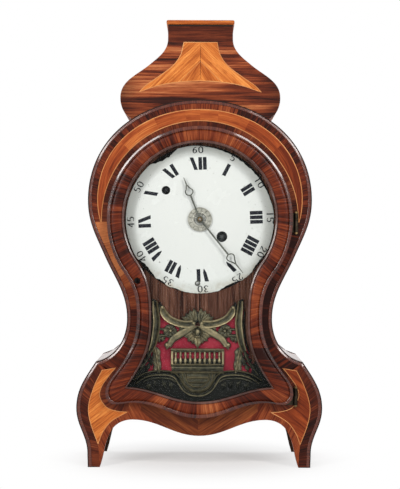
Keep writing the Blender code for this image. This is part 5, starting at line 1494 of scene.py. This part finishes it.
def handMesh(name, node, shape):
    low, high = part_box(node)
    wire = 0.0016
    start, end, wide = shape["loopStart"], shape["loopEnd"], shape["loopHalf"]
    pear = throughPoints([
        (0.0009, end), (wide * 0.50, end - 0.0055), (wide * 0.95, start + 0.0072),
        (wide * 0.86, start + 0.0030), (0.0012, start),
    ])
    eye = throughPoints([
        (0.0, end - 0.0026), (wide * 0.50 - wire * 0.9, end - 0.0064), (wide * 0.95 - wire, start + 0.0072),
        (wide * 0.86 - wire, start + 0.0036), (0.0, start + wire),
    ])
    hubStart = math.degrees(math.asin(0.0011 / shape["hub"]))
    hubArc = arcLine(shape["hub"], hubStart, 180, (0.0, 0.0), 18)
    tip = [Vector((0.0, shape["length"])), Vector((0.0004, shape["length"])), Vector((0.0010, end + 0.0012))]
    bore = [polar(shape["bore"], 15 * k) for k in range(24)]
    placed = []
    for loop in (wholeRing(tip + pear + hubArc), wholeRing(eye), bore):
        turned = turnedStroke(loop, shape["angle"])
        placed.append([(dialCentre.x + x, dialCentre.y + z) for x, z in turned])
    return frontMesh(name, placed, low.y, high.y)


def makeHands():
    shape = discShape
    hour = handMesh("hourPointer", "hour_hand", hourShape)
    addPiece("hourPointer", hour, "hour_group", [handSteel], ["hour_hand"])
    minute = handMesh("minutePointer", "minute_hand", minuteShape)
    addPiece("minutePointer", minute, "minute_group", [handSteel], ["minute_hand"])
    low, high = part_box("hand_nut")
    nut = [
        (0.0017, high.y), (0.0032, high.y), (0.0033, high.y - 0.0004), (0.0030, low.y + 0.0005),
        (0.0024, low.y + 0.0001), (0.0017, low.y),
    ]
    nut = latheMesh("domedNut", nut, dialCentre, 40, ring=True)
    addPiece("domedNut", nut, "minute_group", [oldBrass], ["hand_nut"])

    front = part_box("alarm_disc")[0].y
    top, groove, rim, root = -shape["face"], -shape["groove"], shape["rim"], -shape["root"]
    profile = [
        (0.0039, root), (0.0039, top), (0.0108, top), (0.0111, groove), (0.0114, top), (0.0160, top),
        (0.0168, groove), (0.0168, rim), (0.0167, rim), (0.0165, root),
    ]
    face = dialTurned("discFace", profile, front, dialCentre, 96)
    slots = []
    for start, end in shape["slots"]:
        loop = arcLine(shape["slotOuter"], start, end, dialCentre, 16)
        loop += arcLine(shape["slotInner"], end, start, dialCentre, 16)
        slots.append(frontMesh("slot", [loop], front - 0.002, front + 0.0015))
    face = appliedMesh("discFace", face, slots)
    addPiece("discFace", face, "alarm_setter", [pewterDisc()])
    strokes = []
    paint = metal("discPaint", (0.035, 0.036, 0.034), (0.016, 0.017, 0.018), (0.5, 0.7), metallic=0.0)
    for number in range(1, 13):
        for stroke in digitStrokes(number, *shape["figure"]):
            turned = turnedStroke(stroke, number * 30 + shape["turn"])
            made = raisedMesh(turned, lambda radius, raised: front + top - shape["paint"] * raised)
            made.transform(Matrix.Translation((dialCentre.x, 0.0, dialCentre.y)))
            strokes.append(made)
    addPiece("discFigures", joinedMesh("discFigures", strokes), "alarm_setter", [paint])


makeHands()
print("hands made")

# cast fret, right half as x and z in millimetres, widths and rises in metres
fretShape = dict(
    shift=-0.0026,
    scroll=[(49.5, 221.0), (47.0, 213.0), (40.5, 205.5), (30.0, 200.2), (18.0, 197.6), (6.5, 198.0)],
    ribbon=[(3.0, 195.5), (12.0, 190.5), (23.5, 184.0), (34.0, 177.0), (40.0, 167.5)],
    stem=[(59.5, 230.0), (58.5, 216.0), (57.0, 201.0), (58.3, 186.0), (61.0, 172.0), (65.0, 160.0)],
    arch=[
        (0.0, 100.6), (9.0, 102.0), (18.0, 107.6), (24.0, 116.5), (29.5, 124.6), (37.0, 128.6),
        (48.0, 130.0), (62.0, 129.4), (76.0, 125.0), (87.5, 117.5),
    ],
    balusterShade=(37.0, 141.0, 149.8), post=(35.4, 141.0, 160.0), balusters=10, pitch=6.75, baluster=(142.0, 159.0),
    balusterRadius=0.0024, balusterForward=0.0014, balusterGilt=0.55, ringMiddle=186.5,
    ringRadii=(0.0064, 0.0082), bowlTop=129.0, bowlHalf=25.0, bowlEnd=(24.0, 116.5),
    bowlRims=((0.84, 0.05), (0.66, 0.02)), cornerShadeStart=(37.0, 128.6), cornerShadeFlat=30.0,
    cornerShadeSide=(78.0, 148.0), cornerShadeOut=0.0016,
    # width, rise and gilding kept of a moulding, or rise, root and gilding kept of a plate
    ringMould=(0.0024, 0.0058, -0.15), postMould=(0.0036, 1.0, 0.3), rimMould=(0.0022, 0.0044),
    balusterShadePlate=(0.0005, 0.0001, -0.6), bowlPlate=(0.0022, 0.0002, 0.10), cornerShadePlate=(0.0010, 0.0001, -0.45),
)
fretBands = [  # line, width, rise and gilding kept
    ([(x + 6.8, z - 1.0) for x, z in fretShape["stem"][1:]], 0.0022, 0.0024, -0.12),
    ([(33.0, 182.6), (44.0, 181.6), (56.0, 182.2)], 0.0042, 0.0032, 0.08),
    ([(40.0, 191.6), (48.0, 190.4), (56.0, 191.0)], 0.0034, 0.0030, 0.06),
    ([(60.0, 166.0), (57.0, 153.0), (55.0, 141.0), (53.0, 130.5)], 0.0034, 0.0040, 0.3),
    ([(64.5, 161.0), (69.0, 150.0), (76.0, 139.0), (85.0, 127.0)], 0.0030, 0.0036, -0.05),
    ([(x, z - 7.4) for x, z in fretShape["arch"][4:-1]], 0.0040, 0.0036, -0.24),
]
fretKnobs = [  # place, radius, rise, gilding kept and how tall
    ((49.6, 220.6), 0.0034, 0.0046, 0.25, 1.0), ((42.0, 168.4), 0.0044, 0.0044, 0.26, 1.0),
    ((38.0, 188.4), 0.0030, 0.0052, -0.10, 1.0), ((5.4, 198.8), 0.0036, 0.0052, 0.05, 1.0),
    ((0.0, 186.5), 0.0046, 0.0056, -0.22, 1.4),
]
fretRails = [  # half length, foot, head, rise and gilding kept
    (37.0, 158.4, 163.8, 0.0046, 0.02), (37.0, 138.6, 142.6, 0.0048, -0.02),
    (36.0, 132.4, 138.4, 0.0034, 0.05), (37.0, 128.2, 132.0, 0.0048, 0.04),
    (15.0, 121.0, 125.0, 0.0040, 0.16), (11.5, 114.6, 118.0, 0.0040, 0.14), (7.0, 108.6, 111.6, 0.0040, 0.12),
]
wingTips = [
    ((22.5, 207.6), 0.0100), ((17.2, 212.4), 0.0108), ((11.4, 216.8), 0.0112), ((5.4, 220.4), 0.0092),
]
petalTips = [
    (33.0, 195.0), (39.6, 197.0), (46.6, 192.6), (47.0, 183.4), (40.6, 178.4), (31.4, 180.6), (28.6, 190.2),
]
middleTips = [
    ((14.0, 174.0), 0.0136), ((8.0, 170.6), 0.0110), ((18.5, 180.0), 0.0116), ((13.0, 196.0), 0.0080),
]
cornerSpots = [(38.0, 113.5), (48.0, 115.5), (59.0, 115.0), (70.0, 112.5)]
fretLeaves = [  # stalk, tip and width of each leaf, with what a group shares
    dict(gilt=0.12, rise=0.0042, bend=0.03, back=0.0004,
         leaves=[((4.0, 198.5), tip, wide) for tip, wide in wingTips]),
    dict(gilt=0.15, rise=0.0040, bend=0.1, lobes=2, leaves=[((29.0, 199.0), (18.0, 205.0), 0.0064)]),
    dict(gilt=-0.22, rise=0.0036, bend=0.1, leaves=[((58.0, 220.0), (63.5, 233.0), 0.0074)]),
    dict(gilt=-0.12, rise=0.0034, bend=0.1, leaves=[((55.5, 213.0), (52.5, 229.0), 0.0062)]),
    dict(gilt=-0.05, rise=0.0034, bend=0.1, lobes=2, leaves=[
        ((58.0, 204.0), (63.5, 192.0), 0.0058), ((60.0, 188.0), (66.0, 177.0), 0.0052),
    ]),
    dict(gilt=0.26, rise=0.0048, bend=0.08, lobes=2, leaves=[((38.0, 173.0), (43.0, 161.8), 0.0098)]),
    dict(gilt=-0.04, rise=0.0048, bend=0.12, leaves=[((38.0, 188.4), tip, 0.0116) for tip in petalTips]),
    dict(gilt=0.10, rise=0.0042, bend=0.08, lobes=2, leaves=[
        ((22.0, 187.0), (25.5, 193.5), 0.0066), ((29.0, 182.0), (25.0, 176.5), 0.0066),
        ((17.0, 197.0), (22.5, 192.0), 0.0066), ((45.0, 181.0), (50.0, 172.5), 0.0066),
        ((52.0, 182.0), (53.0, 171.0), 0.0066),
    ]),
    dict(gilt=0.26, rise=0.0046, bend=-0.06, leaves=[((2.5, 188.0), tip, wide) for tip, wide in middleTips]),
    dict(gilt=0.32, rise=0.0052, lobes=3, leaves=[((0.0, 185.0), (0.0, 163.6), 0.0128)]),
    dict(gilt=-0.45, rise=0.0034, leaves=[((0.0, 200.5), (0.0, 216.0), 0.0058)]),
    dict(gilt=0.22, rise=0.0042, bend=0.06, leaves=[
        ((58.5, 165.0), (53.0, 151.0), 0.0112), ((60.5, 158.0), (52.0, 144.0), 0.0120),
        ((59.5, 150.0), (50.5, 136.0), 0.0120), ((58.0, 142.0), (52.5, 129.5), 0.0112),
    ]),
    dict(gilt=-0.12, rise=0.0036, bend=0.06, lobes=2, leaves=[
        ((65.0, 160.0), (69.5, 147.0), 0.0078), ((67.0, 153.0), (75.0, 139.5), 0.0078),
        ((71.0, 145.0), (82.0, 130.5), 0.0078), ((63.5, 152.0), (64.0, 139.0), 0.0078),
        ((67.0, 143.0), (70.0, 131.5), 0.0078),
    ]),
    dict(gilt=-0.14, rise=0.0034, bend=0.08, lobes=2,
         leaves=[((x - 3.0, z - 7.0), (x + 2.0, z + 4.5), 0.0094) for x, z in cornerSpots]),
]
# shares across and rise of the mouldings, leaves and knobs, and a baluster's widths from foot to head
grooved = [
    (-1.0, 0.0), (-1.0, 0.80), (-0.86, 1.0), (-0.66, 0.92), (-0.40, 0.50), (0.0, 0.34), (0.40, 0.50),
    (0.66, 0.92), (0.86, 1.0), (1.0, 0.80), (1.0, 0.0),
]
ridged = [
    (-1.0, 0.0), (-1.0, 0.55), (-0.78, 0.84), (-0.42, 1.0), (-0.05, 0.86), (0.32, 0.98), (0.72, 0.80),
    (1.0, 0.50), (1.0, 0.0),
]
railed = [
    (-1.0, 0.0), (-1.0, 0.55), (-0.6, 0.78), (-0.3, 0.60), (0.2, 0.9), (0.7, 1.0), (1.0, 0.85), (1.0, 0.0),
]
posted = [(-1, 0.0), (-1, 0.0034), (-0.5, 0.0042), (0.5, 0.0042), (1, 0.0034), (1, 0.0)]
ribbed = [
    (-1, 0.0), (-0.94, 0.45), (-0.5, 0.72), (-0.14, 0.70), (0, 1.0), (0.14, 0.70), (0.5, 0.72), (0.94, 0.45),
    (1, 0.0),
]
domed = [(0.03, 1.0), (0.45, 0.93), (0.80, 0.62), (1.0, 0.15), (1.0, -0.05), (0.03, -0.05)]
balusterTurns = [0.50, 0.70, 0.98, 1.0, 0.86, 0.62, 0.52, 0.56, 0.74, 0.66, 0.54, 0.76]


def toned(mesh, share):
    # how much gilding a part has kept
    mesh.attributes["leafTone"].data.foreach_set("value", [share] * len(mesh.polygons))
    return mesh


def leafMesh(start, end, width, base, rise, bend=0.0, lobes=0):
    # a ribbed leaf from its stalk to its tip
    start, end = Vector(start), Vector(end)
    way = end - start
    side = Vector((-way.y, way.x))
    spine = throughPoints([start, start + way * 0.5 + side * bend, end], 8)
    rows = []
    count = len(spine) - 1
    for i, p in enumerate(spine):
        t = i / count
        normal = crosswise(spine, i)
        half = width / 2 * max(0.06, math.sin(math.pi * min(1.0, 0.16 + 0.84 * t) ** 1.15))
        if lobes:
            half *= 0.84 + 0.16 * math.cos(2 * math.pi * lobes * t)
        lift = rise * (0.55 + 0.45 * math.sin(math.pi * t * 0.9))
        row = []
        for share, height in ribbed:
            q = p + normal * (share * half)
            row.append((q.x, base - height * lift, q.y))
        rows.append(row)
    return gridMesh("leaf", rows, ringAcross=True, caps=True)


def swelling(width, least):
    # widest in the middle of a line
    return lambda t: width * (least + (1 - least) * math.sin(math.pi * t))


def curling(width, least):
    # thin at the start of a line and soon full
    return lambda t: width * (least + (1 - least) * min(1.0, 4.0 * t + 0.2))


def bothSides(spots):
    # a line and its mirror image, or one line on the centre
    line = inMetres(spots)
    for side in (1,) if all(p.x == 0 for p in line) else (1, -1):
        yield side, [Vector((p.x * side, p.y)) for p in line]


def knobMesh(middle, radius, front, rise, tall):
    count = 28
    rows = []
    for k in range(count):
        angle = 2 * math.pi * k / count
        row = []
        for share, height in domed:
            x = middle.x + radius * share * math.sin(angle)
            z = middle.y + radius * tall * share * math.cos(angle)
            row.append((x, front - rise * height, z))
        rows.append(row)
    return gridMesh("knob", rows, ringAlong=True, ringAcross=True)


fretMouldings = [  # line, width, rise, gilding kept and profile
    (fretShape["scroll"], curling(0.0104, 0.45), 0.0050, 0.30, grooved),
    (fretShape["stem"], swelling(0.0104, 0.66), 0.0050, 0.26, grooved),
    (fretShape["ribbon"], swelling(0.0106, 0.74), 0.0050, -0.02, ridged),
    (fretShape["arch"], 0.0074, 0.0052, -0.20, grooved),
]


def makeFret():
    shape = fretShape
    base = fretRear
    parts = []

    def banded(line, width, rise, gilt, profile=halfRound, ends=True):
        profile = [(a, b * rise) for a, b in profile]
        parts.append(toned(mouldMesh("mould", line, width, profile, base, ends), gilt))

    def moulded(spots, width, rise, gilt, profile=halfRound):
        for _, line in bothSides(spots):
            banded(throughPoints(line, 10), width, rise, gilt, profile)

    def plate(loop, rise, root, gilt):
        parts.append(toned(frontMesh("plate", [loop], base - rise, base + root), gilt))

    # scrolls, stems, ribbons and arches with their leaves and knobs
    for band in fretMouldings + fretBands:
        moulded(*band)
    for group in fretLeaves:
        front = base - group.get("back", 0.0)
        for start, end, width in group["leaves"]:
            for side, (a, b) in bothSides([start, end]):
                bend = group.get("bend", 0.0) * side
                leaf = leafMesh(a, b, width, front, group["rise"], bend, group.get("lobes", 0))
                parts.append(toned(leaf, group["gilt"]))
    for spot, radius, rise, gilt, tall in fretKnobs:
        for _, (middle,) in bothSides([spot]):
            parts.append(toned(knobMesh(middle, radius, base, rise, tall), gilt))
    wide, tall = shape["ringRadii"]
    middle = shape["ringMiddle"] / 1000
    angles = [2 * math.pi * k / 40 for k in range(41)]
    ring = [Vector((wide * math.sin(angle), middle + tall * math.cos(angle))) for angle in angles]
    banded(ring, *shape["ringMould"], ends=False)

    # balustrade with rails and posts, with a dark plate of painted shade behind the balusters' lower half
    for half, low, high, rise, gilt in fretRails:
        middle = (low + high) / 2
        line = evenly(inMetres([(-half, middle), (half, middle)]), 12)
        banded(line, (high - low) / 1000, rise, gilt, railed)
    half, low, high = shape["balusterShade"]
    plate(inMetres([(-half, low), (half, low), (half, high), (-half, high)]), *shape["balusterShadePlate"])
    count, steps = shape["balusters"], 24
    radii = [shape["balusterRadius"] * balusterTurns[int(i / steps * 11.99)] for i in range(steps + 1)]
    for k in range(count):
        x = (k - (count - 1) / 2) * shape["pitch"]
        spots = evenly(inMetres([(x, z) for z in shape["baluster"]]), steps + 1)
        baluster = tubeMesh("baluster", spots, radii, base - shape["balusterForward"], 12)
        parts.append(toned(baluster, shape["balusterGilt"]))
    half, low, high = shape["post"]
    for x in (-half, half):
        banded(evenly(inMetres([(x, low), (x, high)]), 9), *shape["postMould"], posted)

    # bowl under the plinth with its inner rims
    line = throughPoints(inMetres(shape["arch"]), 10)
    top = shape["bowlTop"]
    end, start = inMetres([shape["bowlEnd"], shape["cornerShadeStart"]])
    middle, corner = inMetres([(0.0, top), (shape["bowlHalf"], top)])
    bowl = spanned(line[:nearest(line, *end) + 1] + [corner])
    for share, gilt in shape["bowlRims"]:
        banded([middle + (p - middle) * share for p in bowl], *shape["rimMould"], gilt)
    plate(bowl, *shape["bowlPlate"])

    # painted shade: a dark plate over the lower corners, where the board behind lies in shade, cut to the sight
    # line
    flat, side = inMetres([(shape["cornerShadeFlat"], top), shape["cornerShadeSide"]])
    edge = [p for p in offsetLine(doorHalf(sightShape), shape["cornerShadeOut"]) if p.y < side.y]
    arch = line[nearest(line, *start):-14]
    ground = [middle, flat] + arch + [side] + edge
    for loop in (ground, flipX(ground)):
        plate([p - Vector((shape["shift"], 0.0)) for p in loop], *shape["cornerShadePlate"])
    fret = joinedMesh("castFret", parts)
    fret.transform(Matrix.Translation((shape["shift"], 0, 0)))
    fret.set_sharp_from_angle(angle=math.radians(50))
    addPiece("castFret", fret, "case", [giltBronze()], ["fret"])


makeFret()
print("fret cast")


# cloth behind the fret, stretched over the opening in the dial board
clothShape = dict(
    half=0.0600, inset=0.0052, foot=0.1260, thick=0.0003, pucker=0.00016, columns=96, lines=72,
    top=[
        (0.0, 0.1960), (0.0175, 0.1955), (0.0345, 0.1985), (0.0470, 0.2070), (0.0535, 0.2160),
        (0.0600, 0.2180),
    ],
)


def clothTop(x):
    for (a, low), (b, high) in zip(clothShape["top"], clothShape["top"][1:]):
        if a <= abs(x) <= b:
            return low + (high - low) * (abs(x) - a) / (b - a)
    return clothShape["top"][-1][1]


def clothHalf(z, edge):
    # half the width at a height, a little inside the sight line
    for p, q in zip(edge, edge[1:]):
        if q.y <= z <= p.y:
            return p.x + (q.x - p.x) * (p.y - z) / (p.y - q.y)
    return clothShape["half"]


def makeCloth():
    middle = (clothFront + clothRear) / 2
    edge = offsetLine(doorHalf(sightShape), -clothShape["inset"])
    edge = [p for p in edge if 0.115 < p.y < 0.230]
    columns, lines, foot = clothShape["columns"], clothShape["lines"], clothShape["foot"]
    build = bmesh.new()
    grid = []
    for i in range(columns + 1):
        across = 2 * i / columns - 1
        top = clothTop(across * clothShape["half"])
        row = []
        for j in range(lines + 1):
            z = foot + (top - foot) * j / lines
            x = across * clothHalf(z, edge)
            pucker = noise.noise((x * 60, z * 60, 0.4)) * 0.6 + noise.noise((x * 210, z * 90, 2.2)) * 0.4
            row.append(build.verts.new((x, middle + pucker * clothShape["pucker"], z)))
        grid.append(row)
    for i in range(columns):
        for j in range(lines):
            face = build.faces.new((grid[i][j], grid[i + 1][j], grid[i + 1][j + 1], grid[i][j + 1]))
            face.smooth = True
    area = sum(face.calc_area() for face in build.faces)
    mesh = meshFrom(build, "silk")
    silk = addPiece("silk", mesh, "case", [crimsonCloth()], ["fret_cloth"])
    skin = silk.modifiers.new("skin", "SOLIDIFY")
    skin.thickness = clothShape["thick"]
    skin.offset = 0.0


makeCloth()
print("cloth stretched")

# finishes for the pieces that keep their CAD shape
plainRosewood = veneer("plainRosewood", [
    (0.15, (0.030, 0.010, 0.006)), (0.60, (0.120, 0.040, 0.020)), (0.95, (0.230, 0.090, 0.045)),
], objectGrain="Z")
finishes = {
    "brass": brass, "steel": steel, "carcass_oak": oak, "glass": paneGlass(), "rosewood": plainRosewood,
    "pewter": metal("pewterPlain", (0.30, 0.30, 0.26), (0.14, 0.14, 0.12)), "enamel": oldBrass,
    "tulipwood": tulipLight, "gilt_bronze": oldBrass, "crimson_cloth": plainRosewood,
}
special = {
    # painted shade: the latch's end in the keyhole is coloured near black
    "door_latch": metal("latchInShade", (0.016, 0.014, 0.013), (0.005, 0.004, 0.004), (0.6, 0.8)),
    "going_arbor": metal("arborSteel", (0.12, 0.13, 0.13), (0.045, 0.048, 0.048)),
    "alarm_arbor": blued, "dial_board": maskBoard(), "bottom_board": oakLevel, "seat_board": oakLevel,
    "back_turn_button": oldBrass, "back_frame": shadedOak, "back_door": shadedOak,
}
for part in frame["record"]["subparts"]:
    node = nodes[part["node"]]
    material = special.get(part["node"], finishes[part["material_slot"]])
    if "hinge" in part["node"]:
        material = oldBrass if part["node"].endswith("pin") else darkBronze
    for place in node.material_slots:
        place.link = "OBJECT"
        place.material = material
print("carried-over pieces finished")


# floor, light and camera
stageShape = dict(floor=14.0, shadow=(0.06, 0.25), nearWhite=0.50, floorGrey=0.93, dim=0.32, aim=(0, 0, 0.3))
cameraShape = dict(place=(0.0003, boardFront - 2.05, 0.3086), lens=109.04, sensor=36.0, roll=-0.2)
lamps = [  # name, place, power, size, turn about its own axis, colour
    ("keyLamp", (0.776, -1.40, 1.206), 10.6, (0.80, 0.22), -42, (1.0, 0.98, 0.96)),
    ("fillLamp", (-0.806, -1.40, 1.178), 9.8, (0.78, 0.20), 44, (1.0, 0.99, 0.97)),
    ("topLamp", (0.0, 0.5, 1.9), 13.0, (0.8, 0.8), 0, (1.0, 1.0, 1.0)),
    ("rightStrip", (1.00, -1.49, 0.52), 2.9, (0.06, 1.3), 0, (1.0, 0.98, 0.96)),
    ("leftStrip", (-1.00, -1.49, 0.52), 2.9, (0.06, 1.3), 0, (1.0, 0.98, 0.96)),
    ("rightLow", (0.94, -1.42, 0.71), 3.3, (0.24, 0.24), 0, (1.0, 0.98, 0.96)),
    ("leftLow", (-0.909, -1.42, 0.663), 5.4, (0.50, 0.18), 58, (1.0, 0.98, 0.96)),
]


def makeFloor():
    # grey near the feet, white further out
    build = bmesh.new()
    bmesh.ops.create_grid(build, x_segments=8, y_segments=8, size=stageShape["floor"])
    floor = bpy.data.objects.new("floor", meshFrom(build, "floor"))
    bpy.context.scene.collection.objects.link(floor)
    material = bpy.data.materials.new("paleFloor")
    material.use_nodes = True
    tree = material.node_tree
    tree.nodes.clear()
    length = addNode(tree, "VectorMath", {"operation": "LENGTH"})
    tree.links.new(addNode(tree, "TexCoord").outputs["Object"], length.inputs[0])
    near, far = stageShape["shadow"]
    fade = ranged(tree, length.outputs["Value"], {"interpolation_type": "SMOOTHSTEP"},
                  From_Min=near, From_Max=far, To_Min=stageShape["nearWhite"], To_Max=1.0)
    grey = stageShape["floorGrey"]
    diffuse = addNode(tree, "BsdfDiffuse", Color=(grey, grey, grey, 1.0))
    white = addNode(tree, "Emission", Color=(1.0, 1.0, 1.0, 1.0), Strength=1.0)
    mixed = addNode(tree, "MixShader")
    tree.links.new(fade, mixed.inputs[0])
    tree.links.new(diffuse.outputs[0], mixed.inputs[1])
    tree.links.new(white.outputs[0], mixed.inputs[2])
    out = addNode(tree, "OutputMaterial")
    tree.links.new(mixed.outputs[0], out.inputs[0])
    floor.data.materials.append(material)


def makeStage():
    world = bpy.data.worlds.new("studio")
    world.use_nodes = True
    tree = world.node_tree
    back = tree.nodes["Background"]
    back.inputs["Color"].default_value = (1.0, 1.0, 1.0, 1.0)
    path = addNode(tree, "LightPath")
    seen = addMath(tree, "MAXIMUM", path.outputs["Is Camera Ray"], path.outputs["Is Transmission Ray"])
    seen = addMath(tree, "MAXIMUM", seen, path.outputs["Is Glossy Ray"])
    tree.links.new(ranged(tree, seen, To_Min=stageShape["dim"], To_Max=1.0), back.inputs["Strength"])
    bpy.context.scene.world = world

    for name, spot, power, size, turn, colour in lamps:
        light = bpy.data.lights.new(name, "AREA")
        light.energy = power
        light.shape = "RECTANGLE"
        light.size, light.size_y = size
        light.color = colour
        lamp = bpy.data.objects.new(name, light)
        lamp.location = spot
        aim = (Vector(stageShape["aim"]) - Vector(spot)).to_track_quat("-Z", "Y")
        lamp.rotation_euler = (aim @ Quaternion((0, 0, 1), math.radians(turn))).to_euler()
        bpy.context.scene.collection.objects.link(lamp)

    lens = bpy.data.cameras.new("camera")
    lens.sensor_fit = "VERTICAL"
    lens.sensor_width = cameraShape["sensor"]
    lens.sensor_height = cameraShape["sensor"]
    lens.lens = cameraShape["lens"]
    camera = bpy.data.objects.new("camera", lens)
    camera.location = cameraShape["place"]
    camera.rotation_euler = (math.radians(90), math.radians(cameraShape["roll"]), 0)
    bpy.context.scene.collection.objects.link(camera)
    bpy.context.scene.camera = camera
    bpy.context.scene.view_settings.view_transform = "Standard"


makeFloor()
makeStage()
print("stage ready")
